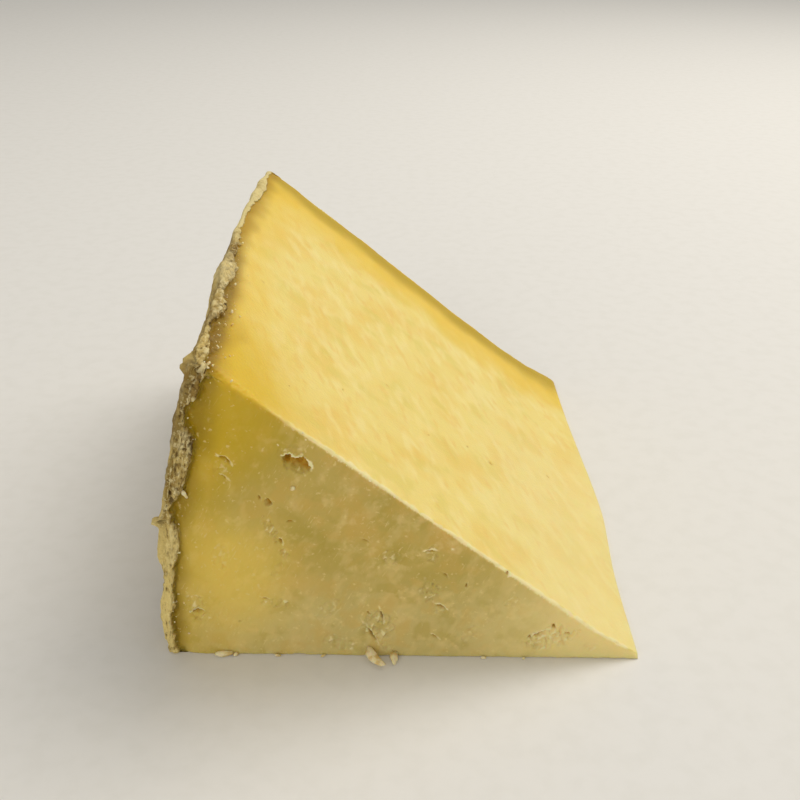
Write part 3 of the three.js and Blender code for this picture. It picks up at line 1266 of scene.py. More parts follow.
    def _traits(self, skin: Skin, place: Array, wear: Wear) -> dict[str, Array]:
        """Says what the finish reads at each place.

        Args:
            skin: The plain skin.
            place: Where its points are once carved.
            wear: What happened to them.

        Returns:
            Numbers by name: millimetres for crust, layer, near_rind and near_back, a height for
            raised, and shares from 0 to 1 for the rest.
        """
        front, back, upper = skin.facing < 0, skin.facing > 0, self._upper(skin)
        across, height = skin.section.T
        depth = place[:, 1]
        inward = self.form.rind_depth(skin.section)
        wavy = 1.0 + 0.35 * layered_noise(place, 6.0, 2, seed=24)
        narrow = 1.0 + 0.4 * front * smoothstep(place[:, 2], 52.0, 14.0)
        narrow = narrow + 0.5 * upper * smoothstep(depth, 15.0, 75.0)
        corner = np.exp(-((inward / 21.0) ** 2) - (skin.depth / 28.0) ** 2)
        # pale lips: partly crumbled curd, partly painted highlight
        pale = np.where(front, np.maximum(wear.fissures.lip, wear.flake_pale), 0.0)
        pale = pale + np.where(upper, 0.5 * wear.pits.lip, 0.0) + 0.75 * self._crumbly(skin, place)
        from_chalk = np.hypot((depth - 47.0) / 9.0, (height - 68.5) / 7.0)
        from_chalk = from_chalk + 0.7 * layered_noise(place, 3.0, 2, seed=26)
        foot = 0.65 * smoothstep(height, 37.0, 29.0) + 0.35 * smoothstep(height, 27.0, 10.0)
        return {
            "crust": wear.crust,
            "layer": inward,
            "near_rind": inward * narrow * wavy,
            "near_back": (self.form.depth - skin.depth) * wavy,
            "broken_end": smoothstep(self._past_edge(skin), -0.35 * wear.edge, 0.35 * wear.edge),
            "pit": wear.rind_pit * np.maximum(wear.in_rind, wear.share),
            # deepest part of openings under the lip: darker gold, partly painted shade
            "crevice": wear.fissures.crevice * front + wear.pits.crevice * upper,
            "pale": np.clip(pale, 0.0, 1.0),
            "outer": np.maximum(wear.share, back),
            "fringe": wear.fringe,
            "raised": wear.fine - 0.25 * wear.fringe * (wear.share < self.all_rind),
            "corner": corner * smoothstep(height, 30.0, 58.0),
            "fresh": FRESH_ACROSS.height(across) * FRESH_UP.height(height) * front,
            # painted light: the broken end paler and duller towards the floor, standing in for
            # light thrown up from it
            "low": smoothstep(height, 30.0, 4.0),
            # painted shade: the upper cut darkened where the paste sinks beside the rind
            "painted_shade_by_rind": smoothstep(inward, 6.5, 2.5) * smoothstep(depth, 85.0, 35.0),
            "chalky": smoothstep(from_chalk, 1.1, 0.4),
            "foot": foot * smoothstep(depth, 8.0, 1.0),
            # painted light: paler towards the thin edge, standing in for light shining through it
            "painted_tip_glow": smoothstep(place[:, 0], -48.0, -2.0) * smoothstep(depth, 110.0, 40.0),
            "rubbed": self._rubbed(skin, place, wear.calm),
        }

    def age(self, skin: Skin) -> Surface:
        """Carves the skin and says what each place of it is.

        Args:
            skin: The plain skin.

        Returns:
            The finished surface.
        """
        place = self.form.shaped(skin.section, skin.depth)
        wear = self._wear(skin, place)
        carved = self._carve(skin, place, wear)
        return Surface(carved, skin.faces, self._traits(skin, carved, wear))


# Meshes


def make_piece(
    name: str, place: Array, faces: Array, traits: dict[str, Array]
) -> bpy.types.Object:
    """Makes a smoothly shaded object of a surface on the wedge's own axes.

    Args:
        name: The piece's name.
        place: Its points, in millimetres.
        faces: Its triangles.
        traits: Named numbers at each point, for its finish.

    Returns:
        The object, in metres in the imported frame.
    """
    mesh = bpy.data.meshes.new(name)
    world = (place + WedgeForm().origin) * MM
    mesh.from_pydata(world.tolist(), [], faces.tolist())
    for label, values in traits.items():
        layer = mesh.attributes.new(label, "FLOAT", "POINT")
        layer.data.foreach_set("value", values.astype(np.float32))
    mesh.polygons.foreach_set("use_smooth", np.full(len(faces), True))
    mesh.update()
    piece = bpy.data.objects.new(name, mesh)
    bpy.context.scene.collection.objects.link(piece)
    return piece


@dataclass(frozen=True)
class CheeseWedge:
    """The wedge itself: paste and rind in one piece."""

    form: WedgeForm = WedgeForm()

    def build(self) -> bpy.types.Object:
        """Builds the wedge's mesh.

        Returns:
            The object, riding on the root body in place of its solid.
        """
        outline = self.form.outline()
        skin = SkinMaker(self.form, outline).make()
        surface = Weathering(self.form, outline).age(skin)
        piece = make_piece("wedge_of_cheese", surface.place, surface.faces, surface.traits)
        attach(piece, "root")
        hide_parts(NODE)
        LOG.info("%s: %d triangles", piece.name, len(surface.faces))
        return piece

    def dress(self, piece: bpy.types.Object) -> None:
        """Gives the wedge its finish."""
        piece.data.materials.append(CheeseFinish().material())


@dataclass(frozen=True)
class Crumb:
    """One crumb: an uneven lump, longer one way, that may taper and curl."""

    place: tuple[float, float, float]
    size: tuple[float, float, float]
    turn: float = 0.0  # about the upright, in degrees
    tilt: float = 0.0  # up or down along its length, in degrees
    taper: float = 0.0  # share of its width lost at the far end
    curl: float = 0.0  # rise of both its ends

    def points(self, ball: Array, seed: int) -> Array:
        """Shapes a ball of radius 1 into the crumb.

        Args:
            ball: The ball's points.
            seed: Picks the crumb's own unevenness.

        Returns:
            The crumb's points in millimetres.
        """
        rough = 1.0 + 0.6 * layered_noise(ball * 2.0, 1.6, 3, seed=30 + seed)
        shape = ball * rough[:, None] * np.array(self.size) / 2
        along = 2 * shape[:, 0] / self.size[0]
        shape[:, 1:] *= (1.0 - self.taper * (along + 1.0) / 2)[:, None]
        shape[:, 2] += self.curl * along * along
        turn, tilt = math.radians(self.turn), math.radians(self.tilt)
        dipped = shape @ np.array([
            [math.cos(tilt), 0.0, math.sin(tilt)],
            [0.0, 1.0, 0.0],
            [-math.sin(tilt), 0.0, math.cos(tilt)],
        ])
        turned = dipped @ np.array([
            [math.cos(turn), math.sin(turn), 0.0],
            [-math.sin(turn), math.cos(turn), 0.0],
            [0.0, 0.0, 1.0],
        ])
        placed = turned + np.array(self.place)
        placed[:, 2] -= min(0.0, placed[:, 2].min())
        return placed


# Crumbs that lie against the foot of the broken end, and grains that stand out on it.
CRUMBS = (
    Crumb((-55.3, -2.5, 1.1), (6.2, 2.6, 1.8), -48.0, -8.0, 0.5, 0.8),
    Crumb((-51.7, -1.6, 0.8), (3.4, 2.8, 1.6), -88.0, -10.0, 0.7, 0.0),
    Crumb((-87.0, -0.5, 0.6), (3.4, 1.5, 1.3), 8.0, 0.0, 0.3, 0.0),
    Crumb((-84.6, -0.4, 0.4), (1.2, 0.9, 0.8), 40.0),
    Crumb((-71.8, -0.15, 41.1), (0.95, 0.9, 0.95)),
    Crumb((-86.5, 1.8, 66.3), (1.0, 0.6, 0.5), 20.0, 30.0),
    Crumb((-85.8, 2.1, 65.8), (0.7, 0.5, 0.4), -30.0, 30.0),
    Crumb((-92.6, -0.2, 39.6), (0.9, 0.5, 2.1), 0.0, 25.0),
    Crumb((-76.0, -0.4, 0.3), (1.4, 0.7, 0.6), -10.0),
    Crumb((-66.4, -0.4, 0.3), (1.1, 0.6, 0.5), 20.0),
    Crumb((-33.0, -0.4, 0.3), (1.2, 0.6, 0.5), 0.0),
    Crumb((-24.5, -0.4, 0.3), (0.9, 0.6, 0.5), 30.0),
)


@dataclass(frozen=True)
class Crumbs:
    """Crumbs at the foot of the wedge and grains that cling beside its rind."""

    form: WedgeForm = WedgeForm()
    grains: int = 80
    edge_grains: int = 70
    smallest: float = 0.14
    largest: float = 0.55
    from_rind: float = 1.9  # where the clinging grains start, inside the rind's curve
    spread: float = 2.0
    end_heights: tuple[float, float] = (2.0, 64.0)
    cut_reach: float = 70.0  # how far along the upper cut they cling
    heap: tuple[float, float] = (-55.0, 2.2)  # middle and spread of a heap on the front edge
    edge_run: tuple[float, float] = (-74.0, -6.0)

    def _random_size(self, random: np.random.Generator) -> tuple[float, float, float]:
        """Draws a grain's size: most are small, and longer than they are wide."""
        wide = self.smallest + (self.largest - self.smallest) * random.random() ** 2.5
        return (wide * random.uniform(1.0, 1.8), wide, wide * random.uniform(0.5, 0.9))

    def _clinging(self, random: np.random.Generator) -> list[Crumb]:
        """Scatters grains on both cuts close to the rind's inner border.

        Args:
            random: Where the draws come from.

        Returns:
            The grains.
        """
        crumbs = []
        for number in range(self.grains):
            inward = self.from_rind + abs(random.normal(0.0, self.spread))
            size = self._random_size(random)
            turn = random.uniform(0.0, 180.0)
            if number % 3 == 0:
                height = random.uniform(*self.end_heights)
                place = (self.form.rind_place(height) + inward, -0.15, height)
                crumbs.append(Crumb(place, (size[0], size[2], size[1]), 0.0, turn))
            else:
                brow = self.form.brow_height()
                x = self.form.rind_place(brow) + inward
                section = np.array([[x, self.form.cut_height(x)]])
                depth = np.array([self.cut_reach * random.random() ** 1.3])
                place = self.form.shaped(section, depth)[0] + np.array([0.05, 0.0, 0.1])
                crumbs.append(Crumb(tuple(place), size, turn, math.degrees(self.form.cut_angle)))
        return crumbs

    def _on_edge(self, random: np.random.Generator) -> list[Crumb]:
        """Scatters grains along the crumbled border between the broken end and the upper cut.

        Args:
            random: Where the draws come from.

        Returns:
            The grains.
        """
        crumbs = []
        for _ in range(self.edge_grains):
            x = random.choice([random.normal(*self.heap), random.uniform(*self.edge_run)])
            depth = random.uniform(-0.1, 1.0)
            height = self.form.cut_height(x) - random.uniform(0.25, 0.6)
            size = self._random_size(random)
            crumbs.append(Crumb((x, depth, height), size, random.uniform(0.0, 180.0)))
        return crumbs

    def build(self) -> bpy.types.Object:
        """Builds all crumbs as one mesh.

        Returns:
            The object, riding on the root body.
        """
        random = np.random.default_rng(CRUMB_SEED)
        ball = bmesh.new()
        bmesh.ops.create_icosphere(ball, subdivisions=2, radius=1.0)
        corners = np.array([vertex.co[:] for vertex in ball.verts])
        triangles = np.array([[vertex.index for vertex in face.verts] for face in ball.faces])
        ball.free()
        crumbs = list(CRUMBS) + self._clinging(random) + self._on_edge(random)
        points = [crumb.points(corners, number) for number, crumb in enumerate(crumbs)]
        faces = [triangles + number * len(corners) for number in range(len(crumbs))]
        piece = make_piece("loose_crumbs", np.concatenate(points), np.concatenate(faces), {})
        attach(piece, "root")
        LOG.info("%s: %d crumbs, %d triangles", piece.name, len(crumbs), len(piece.data.polygons))
        return piece

    def dress(self, piece: bpy.types.Object) -> None:
        """Gives the crumbs their finish."""
        piece.data.materials.append(CrumbFinish().material())


# Finishes


def linear(code: str) -> tuple[float, float, float, float]:
    """Turns an sRGB hex colour into linear red, green, blue and alpha."""
    values = [int(code[n:n + 2], 16) / 255 for n in (1, 3, 5)]
    return (*(v / 12.92 if v <= 0.04045 else ((v + 0.055) / 1.055) ** 2.4 for v in values), 1.0)


def add_node(
    tree: bpy.types.NodeTree, kind: str, inputs: dict[int | str, Any], **settings: Any
) -> bpy.types.Node:
    """Adds a node with its settings, values and links.

    Args:
        tree: The node tree.
        kind: The node's type.
        inputs: A value or another node's output for each named or numbered input.
        **settings: The node's own properties.

    Returns:
        The node.
    """
    node = tree.nodes.new(kind)
    for name, value in settings.items():
        setattr(node, name, value)
    for name, value in inputs.items():
        if isinstance(value, bpy.types.NodeSocket):
            tree.links.new(value, node.inputs[name])
        else:
            node.inputs[name].default_value = value
    return node


# Numbers of the sockets that a mix node has for colours.
MIX_FACTOR, MIX_A, MIX_B, MIX_RESULT = 0, 6, 7, 2
Socket = bpy.types.NodeSocket
Paint = Socket | str
Layer = tuple[Socket, Paint]


def paint(tree: bpy.types.NodeTree, base: Paint, layers: list[Layer]) -> Socket:
    """Lays colours over each other.

    Args:
        tree: The node tree.
        base: The lowest colour.
        layers: Where each next colour lies, from 0 to 1, and the colour: a hex value or a socket.

    Returns:
        The colour that results.
    """
    below = linear(base) if isinstance(base, str) else base
    for where, colour in layers:
        above = linear(colour) if isinstance(colour, str) else colour
        inputs = {MIX_FACTOR: where, MIX_A: below, MIX_B: above}
        below = add_node(tree, "ShaderNodeMix", inputs, data_type="RGBA").outputs[MIX_RESULT]
    return below


def ramp(
    tree: bpy.types.NodeTree, value: Socket, low: float, high: float, top: float | Socket = 1.0
) -> Socket:
    """Turns a value into one that rises smoothly from 0 at low to top at high.

    Args:
        tree: The node tree.
        value: The value.
        low: The value that gives 0.
        high: The value that gives the top.
        top: The most that it gives.

    Returns:
        The new value.
    """
    inputs = {"Value": value, "From Min": low, "From Max": high, "To Max": top}
    node = add_node(tree, "ShaderNodeMapRange", inputs, interpolation_type="SMOOTHSTEP")
    return node.outputs[0]


def between(tree: bpy.types.NodeTree, share: Socket, first: float, second: float) -> Socket:
    """Gives a number that goes from the first to the second as a share goes from 0 to 1."""
    inputs = {"Value": share, "To Min": first, "To Max": second}
    return add_node(tree, "ShaderNodeMapRange", inputs).outputs[0]


def times(tree: bpy.types.NodeTree, value: Socket, factor: Socket | float) -> Socket:
    """Multiplies a value."""
    inputs = {0: value, 1: factor}
    return add_node(tree, "ShaderNodeMath", inputs, operation="MULTIPLY").outputs[0]


@dataclass(frozen=True)
class Ground:
    """What every layer of a finish reads: coordinates in millimetres and the piece's traits."""

    tree: bpy.types.NodeTree

    def millimetres(self) -> Socket:
        """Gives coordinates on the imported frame's axes.

        Returns:
            The coordinates, in millimetres.
        """
        metres = add_node(self.tree, "ShaderNodeTexCoord", {}).outputs["Object"]
        inputs = {0: metres, "Scale": 1 / MM}
        return add_node(self.tree, "ShaderNodeVectorMath", inputs, operation="SCALE").outputs[0]

    def drawn(self, along: Vector, long: float, short: float) -> Socket:
        """Coordinates for grain that is drawn out along one direction.

        Args:
            along: The direction.
            long: The grain's length in millimetres.
            short: Its width in millimetres.

        Returns:
            Coordinates in units of one grain.
        """
        side = along.orthogonal().normalized()
        axes = (along / long, side / short, along.cross(side) / short)
        place = self.millimetres()
        parts = {}
        for number, axis in enumerate(axes):
            inputs = {0: place, 1: tuple(axis)}
            node = add_node(self.tree, "ShaderNodeVectorMath", inputs, operation="DOT_PRODUCT")
            parts[number] = node.outputs["Value"]
        return add_node(self.tree, "ShaderNodeCombineXYZ", parts).outputs[0]

    def noise(self, place: Socket, grain: float, detail: float = 2.0, rough: float = 0.5) -> Socket:
        """Noise from 0 to 1 whose lumps have a size in the place's own units."""
        inputs = {"Vector": place, "Scale": 1 / grain, "Detail": detail, "Roughness": rough}
        return add_node(self.tree, "ShaderNodeTexNoise", inputs).outputs[0]

    def trait(self, name: str) -> Socket:
        """A named number of the piece."""
        return add_node(self.tree, "ShaderNodeAttribute", {}, attribute_name=name).outputs["Fac"]


def make_material(
    name: str, inputs: Callable[[Ground], dict[int | str, Any]]
) -> bpy.types.Material:
    """Makes a material of one principled shader.

    Args:
        name: The material's name.
        inputs: Gives the shader's inputs from what its layers read.

    Returns:
        The material.
    """
    material = bpy.data.materials.new(name)
    material.use_nodes = True
    tree = material.node_tree
    tree.nodes.clear()
    shader = add_node(tree, "ShaderNodeBsdfPrincipled", inputs(Ground(tree)))
    add_node(tree, "ShaderNodeOutputMaterial", {"Surface": shader.outputs[0]})
    return material


# Curd: how strongly it bends light, and how far red, green and blue go in it against each other.
CURD_IOR = 1.44
CURD_GLOW = (1.0, 0.62, 0.25)


@dataclass(frozen=True)
class PasteFinish:
    """Pressed curd, milled, moulded and cut: a close waxy yellow paste with soft pale clouds
    where curds have knitted, darker and more golden where it has dried beside the rind, with
    painted shade on the upper cut where the paste sinks beside the rind."""

    cream: str = "#efd87e"
    butter: str = "#ecca66"
    cloud: str = "#f5e398"
    amber: str = "#eabf5c"
    olive: str = "#e2cc66"
    # painted light: the upper cut paler towards the thin edge, as light shines through it
    painted_tip_glow: str = "#f2e09c"
    gold: str = "#eac43c"
    corner_gold: str = "#dcb60a"
    dried_cut: str = "#ae8600"
    # painted shade on the upper cut beside the rind
    painted_shade_by_rind: str = "#6c5000"
    dried_back: str = "#b89810"
    # The broken end's colours are darker and more saturated than the upper cut's: partly the broken
    # curd's own colour, partly painted shade.
    end_base: str = "#c9b05c"
    end_green: str = "#b9a248"
    end_warm: str = "#d4b058"
    end_pale: str = "#e4cc84"
    end_painted_tip_glow: str = "#f6e096"
    # painted light: the broken end paler towards the thin edge, as light shines through it
    end_gold: str = "#d0ad0c"
    end_fresh: str = "#f2d15c"
    # painted light thrown up from the floor onto the broken end's lower part
    end_painted_floor_light: str = "#dfce8e"
    dried_end: str = "#927400"
    # crumbled curd; on the lips of openings it is also a painted highlight
    crumbled: str = "#f3e5ae"
    scratched: str = "#ead692"
    # darker gold in the deepest part of openings: partly the curd's colour, partly painted shade
    gold_and_shade_in_depths: str = "#bd8a10"
    cloud_size: float = 14.0  # several curds knitted together
    shade_size: float = 9.0
    curd_size: float = 3.6  # one milled curd
    wire: Vector = Vector((0.302, -0.924, -0.234))  # the way the cutting wire went
    wire_grain: tuple[float, float] = (8.0, 3.6)  # one curd, smeared along
    end_cloud: float = 17.0
    end_shade: float = 10.0
    end_blotch: float = 4.5
    tear: Vector = Vector((0.47, 0.0, 0.88))  # the way the curd tore
    smear_grain: tuple[float, float] = (5.0, 2.6)
    # The curd's own grain is about 0.2 mm. It is drawn coarser in the next three, as it would be
    # too fine to show.
    tear_grain: tuple[float, float] = (2.2, 0.42)
    fleck_size: float = 1.1
    grain: tuple[float, float] = (1.6, 0.7)
    torn_patch: float = 8.0  # where tears lie close together

    def _upper(self, ground: Ground) -> Socket:
        """Paints the upper cut: clouds of knitted curd, drawn out a little by the cutting wire.

        Args:
            ground: What the layers read.

        Returns:
            The upper cut's colour.
        """
        tree = ground.tree
        place = ground.millimetres()
        drawn = ground.drawn(self.wire, *self.wire_grain)
        near_rind, near_back = ground.trait("near_rind"), ground.trait("near_back")
        curds = ground.noise(place, self.curd_size, 3.0, 0.6)
        return paint(tree, self.cream, [
            (ramp(tree, ground.noise(place, self.cloud_size, 2.0), 0.42, 0.66, 0.75), self.butter),
            (ramp(tree, ground.noise(place, self.shade_size, 2.0), 0.5, 0.68, 0.55), self.olive),
            (ramp(tree, ground.noise(drawn, 1.0, 2.0), 0.46, 0.7, 0.5), self.cloud),
            (ramp(tree, ground.noise(drawn, 0.8, 2.0), 0.55, 0.72, 0.4), self.amber),
            (ramp(tree, curds, 0.56, 0.75, 0.3), self.cloud),
            # painted light through the thin edge
            (ramp(tree, ground.trait("painted_tip_glow"), 0.0, 1.0, 0.5), self.painted_tip_glow),
            (ramp(tree, near_back, 34.0, 12.0, 0.85), self.gold),
            (ramp(tree, near_rind, 24.0, 5.0, 0.6), self.gold),
            (ramp(tree, ground.trait("corner"), 0.0, 0.8, 0.75), self.corner_gold),
            (ramp(tree, near_back, 14.5, 3.0, 0.9), self.dried_back),
            (ramp(tree, near_back, 1.2, 0.2, 0.65), self.gold),
            (ramp(tree, near_rind, 9.0, 2.2, 0.9), self.dried_cut),
            # painted shade beside the rind
            (ramp(tree, ground.trait("painted_shade_by_rind"), 0.0, 1.0, 0.6), self.painted_shade_by_rind),
        ])

    def _end(self, ground: Ground) -> Socket:
        """Paints the broken end: greener and duller than the upper cut, partly its own colour and
        partly painted shade, with fine pale tears along the break.

        Args:
            ground: What the layers read.

        Returns:
            The broken end's colour.
        """
        tree = ground.tree
        place = ground.millimetres()
        near_rind = ground.trait("near_rind")
        smears = ground.noise(ground.drawn(self.tear, *self.smear_grain), 1.0, 2.0)
        blotches = ground.noise(place, self.end_blotch, 2.0)
        curds = ground.noise(place, self.curd_size, 3.0, 0.6)
        flecks = ground.noise(place, self.fleck_size, 3.0)
        drawn = ground.noise(ground.drawn(self.tear, *self.tear_grain), 1.0, 3.0)
        torn = ramp(tree, ground.noise(place, self.torn_patch, 2.0), 0.42, 0.62)
        tears = times(tree, ramp(tree, drawn, 0.6, 0.76, 0.6), torn)
        return paint(tree, self.end_base, [
            (ramp(tree, ground.noise(place, self.end_cloud, 2.0), 0.4, 0.62, 0.8), self.end_green),
            (ramp(tree, ground.noise(place, self.end_shade, 2.0), 0.52, 0.72, 0.7), self.end_warm),
            # painted light from the floor
            (ramp(tree, ground.trait("low"), 0.0, 1.0, 0.5), self.end_painted_floor_light),
            (ramp(tree, smears, 0.5, 0.72, 0.4), self.end_pale),
            (ramp(tree, blotches, 0.52, 0.68, 0.4), self.end_warm),
            (ramp(tree, blotches, 0.48, 0.32, 0.5), self.end_green),
            (ramp(tree, curds, 0.52, 0.72, 0.55), self.end_pale),
            # painted light through the thin edge
            (ramp(tree, ground.trait("painted_tip_glow"), 0.0, 1.0, 0.8), self.end_painted_tip_glow),
            (ramp(tree, ground.trait("corner"), 0.0, 0.8, 0.7), self.end_gold),
            (ramp(tree, near_rind, 22.0, 6.0, 0.45), self.end_gold),
            (ramp(tree, ground.trait("fresh"), 0.0, 1.0, 0.68), self.end_fresh),
            (ramp(tree, near_rind, 9.0, 3.0, 0.8), self.dried_end),
            (tears, self.scratched),
            (ramp(tree, flecks, 0.61, 0.72, 0.5), self.scratched),
        ])

    def colour(self, ground: Ground) -> Socket:
        """Paints the paste.

        Args:
            ground: What the layers read.

        Returns:
            The paste's colour.
        """
        tree = ground.tree
        return paint(tree, self._upper(ground), [
            (ground.trait("broken_end"), self._end(ground)),
            # crumbled curd, with a painted highlight on the lips
            (ramp(tree, ground.trait("pale"), 0.0, 1.0), self.crumbled),
            # deepest part of openings: partly the curd's colour, partly painted shade
            (ramp(tree, ground.trait("crevice"), 0.1, 0.9, 0.85), self.gold_and_shade_in_depths),
        ])


@dataclass(frozen=True)
class RindFinish:
    """A rind grown in a cloth in the cellar and brushed: dry, chalky, mottled beige and grey
    brown in thin layers, dark in its pits and pale where it is frayed or rubbed."""

    beige: str = "#cdb36c"
    brown: str = "#8f6f30"
    grey: str = "#7d6a40"
    chalk: str = "#f0dfa6"
    gap: str = "#523b10"
    band: str = "#937a3a"
    foot: str = "#f3da8a"
    smooth_end: str = "#ead898"
    smooth_shade: str = "#a88a40"
    layer: float = 0.5  # thickness of one layer of cloth print and bloom
    layer_run: float = 2.2
    stain: float = 9.0
    bloom: float = 6.0
    spot: float = 3.0
    outer_stain: float = 18.0
    outer_bloom: float = 14.0
    smooth_stain: float = 4.5
    # A cloth leaves a print of threads about 0.4 mm apart. It is drawn as specks and fibre of
    # about twice that, as it would be too fine to show.
    speck: float = 0.9
    hole: float = 0.8
    fibre: float = 0.9

    def layers(self, ground: Ground) -> Socket:
        """Gives noise drawn out along the rind's own face, thin across its layers.

        Args:
            ground: What the layers read.

        Returns:
            Noise from 0 to 1.
        """
        tree = ground.tree
        parts = add_node(tree, "ShaderNodeSeparateXYZ", {0: ground.millimetres()}).outputs
        scaled = {
            0: times(tree, ground.trait("layer"), 1 / self.layer),
            1: times(tree, parts[1], 1 / self.layer_run),
            2: times(tree, parts[2], 1 / self.layer_run),
        }
        place = add_node(tree, "ShaderNodeCombineXYZ", scaled).outputs[0]
        return ground.noise(place, 1.0, 3.0, 0.6)

    def _patches(self, ground: Ground, size: float, detail: float = 4.0) -> Socket:
        """Noise for stains and bloom, ragged at their borders."""
        return ground.noise(ground.millimetres(), size, detail, 0.6)

    def colour(self, ground: Ground) -> Socket:
        """Paints the rind.

        Args:
            ground: What the layers read.

        Returns:
            The rind's colour.
        """
        tree = ground.tree
        place = ground.millimetres()
        layers = self.layers(ground)
        raised, outer = ground.trait("raised"), ground.trait("outer")
        flaked = between(tree, outer, 0.85, 0.3)
        specked = between(tree, outer, 0.6, 0.2)
        grained = between(tree, outer, 0.8, 0.15)
        mottled = between(tree, outer, 0.0, 0.75)
        pitted = between(tree, outer, 0.8, 0.45)
        foot_layers = ramp(tree, layers, 0.24, 0.52, 0.88)
        blooms = ground.noise(place, self.outer_bloom, 4.0, 0.65)
        worn = ramp(tree, self._patches(ground, self.smooth_stain), 0.5, 0.66, 0.75)
        smooth = paint(tree, self.smooth_end, [(worn, self.smooth_shade)])
        return paint(tree, self.beige, [
            (ramp(tree, self._patches(ground, self.stain, 3.0), 0.44, 0.6, 0.85), self.brown),
            (ramp(tree, ground.noise(place, self.bloom, 2.0), 0.52, 0.64, 0.55), self.chalk),
            (ramp(tree, self._patches(ground, self.spot, 3.0), 0.52, 0.66, 0.6), self.grey),
            (ramp(tree, self._patches(ground, self.outer_stain), 0.5, 0.62, mottled), self.grey),
            (ramp(tree, blooms, 0.5, 0.64, mottled), self.beige),
            (ramp(tree, ground.trait("fringe"), 0.55, 0.1, 0.8), self.band),
            (ramp(tree, layers, 0.48, 0.36, grained), self.brown),
            (ramp(tree, layers, 0.56, 0.68, grained), self.chalk),
            (ramp(tree, self._patches(ground, self.speck, 3.0), 0.54, 0.66, specked), self.chalk),
            (ramp(tree, self._patches(ground, self.hole, 3.0), 0.47, 0.36, specked), self.gap),
            (ramp(tree, layers, 0.38, 0.3, grained), self.gap),
            (ramp(tree, raised, -0.08, -0.42, flaked), self.gap),
            (ramp(tree, raised, 0.12, 0.42, flaked), self.chalk),
            (ramp(tree, ground.trait("pit"), 0.2, 0.8, pitted), self.gap),
            (ramp(tree, ground.trait("foot"), 0.0, 1.0, foot_layers), self.foot),
            (ramp(tree, ground.trait("chalky"), 0.0, 1.0, 0.35), self.chalk),
            (ramp(tree, ground.trait("rubbed"), 0.0, 1.0, 0.85), smooth),
        ])


@dataclass(frozen=True)
class CheeseFinish:
    """The whole wedge's finish: paste that lets light in, and a dry rind that does not."""

    paste: PasteFinish = PasteFinish()
    rind: RindFinish = RindFinish()
    border_blur: float = 0.12
    light_depth: float = 3.0 * MM
    curd_bump: float = 0.16
    layer_bump: float = 0.5
    fibre_bump: tuple[float, float] = (0.45, 0.25)  # on the cuts, and on the rind's outer face

    def _relief(self, ground: Ground, in_rind: Socket) -> Socket:
        """Adds grain too fine for the mesh: faint curd in the paste, coarse fibre in the rind.

        Args:
            ground: What the layers read.
            in_rind: How much of each place is rind.

        Returns:
            The direction that each place faces.
        """
        tree = ground.tree
        curd = ground.noise(ground.drawn(self.paste.tear, *self.paste.grain), 1.0, 3.0, 0.55)
        fibre = ground.noise(ground.millimetres(), self.rind.fibre, 4.0, 0.6)
        crag = add_node(tree, "ShaderNodeMath", {
            0: fibre,
            1: between(tree, ground.trait("outer"), *self.fibre_bump),
            2: times(tree, self.rind.layers(ground), self.layer_bump),
        }, operation="MULTIPLY_ADD").outputs[0]
        heights = {0: in_rind, 2: times(tree, curd, self.curd_bump), 3: crag}
        height = add_node(tree, "ShaderNodeMix", heights, data_type="FLOAT").outputs[0]
        bump = {"Height": height, "Distance": MM, "Strength": 1.0}
        return add_node(tree, "ShaderNodeBump", bump).outputs[0]

    def _inputs(self, ground: Ground) -> dict[int | str, Any]:
        """Gives the shader's inputs.

        Args:
            ground: What the layers read.

        Returns:
            A value or another node's output for each of them.
        """
        tree = ground.tree
        in_rind = ramp(tree, ground.trait("crust"), -self.border_blur, self.border_blur)
        paste, rind = self.paste.colour(ground), self.rind.colour(ground)
        return {
            "Base Color": paint(tree, paste, [(in_rind, rind)]),
            "Roughness": between(tree, in_rind, 0.48, 0.85),
            "Normal": self._relief(ground, in_rind),
            "Subsurface Weight": between(tree, in_rind, 0.5, 0.05),
            "Subsurface Radius": CURD_GLOW,
            "Subsurface Scale": self.light_depth,
            "IOR": CURD_IOR,
            "Specular IOR Level": 0.3,
        }

    def material(self) -> bpy.types.Material:
        """Builds the material."""
        return make_material("pressed_curd_and_natural_rind", self._inputs)


@dataclass(frozen=True)
class CrumbFinish:
    """Broken curd: small pieces with dry, matt, almost white corners."""

    curd: str = "#f0e0b0"
    shade: str = "#d9be78"
    patch: float = 1.4

    def _inputs(self, ground: Ground) -> dict[int | str, Any]:
        """Gives the shader's inputs.

        Args:
            ground: What the layers read.

        Returns:
            A value or another node's output for each of them.
        """
        tree = ground.tree
        patches = ramp(tree, ground.noise(ground.millimetres(), self.patch, 3.0), 0.45, 0.65)
        return {
            "Base Color": paint(tree, self.curd, [(patches, self.shade)]),
            "Roughness": 0.7,
            "Subsurface Weight": 0.4,
            "Subsurface Radius": CURD_GLOW,
            "Subsurface Scale": MM,
            "IOR": CURD_IOR,
        }

    def material(self) -> bpy.types.Material:
        """Builds the material."""
        return make_material("broken_curd", self._inputs)


@dataclass(frozen=True)
class SweepFinish:
    """Matt paper sweep, pressed and uncoated: pale, and too rough to mirror the wedge."""

    paper: str = "#e6e4df"
    cloud: str = "#e1dfd9"
    # Paper fibre is too fine to show, so it is drawn as faint clouds of this many millimetres.
    cloud_size: float = 5.0

    def _inputs(self, ground: Ground) -> dict[int | str, Any]:
        """Gives the shader's inputs.

        Args:
            ground: What the layers read.

        Returns:
            A value or another node's output for each of them.
        """
        tree = ground.tree
        clouds = ground.noise(ground.millimetres(), self.cloud_size, 3.0)
        colour = paint(tree, self.paper, [(ramp(tree, clouds, 0.4, 0.7, 0.5), self.cloud)])
        return {"Base Color": colour, "Roughness": 0.85}

    def material(self) -> bpy.types.Material:
        """Builds the material."""
        return make_material("matt_paper_sweep", self._inputs)


# The studio


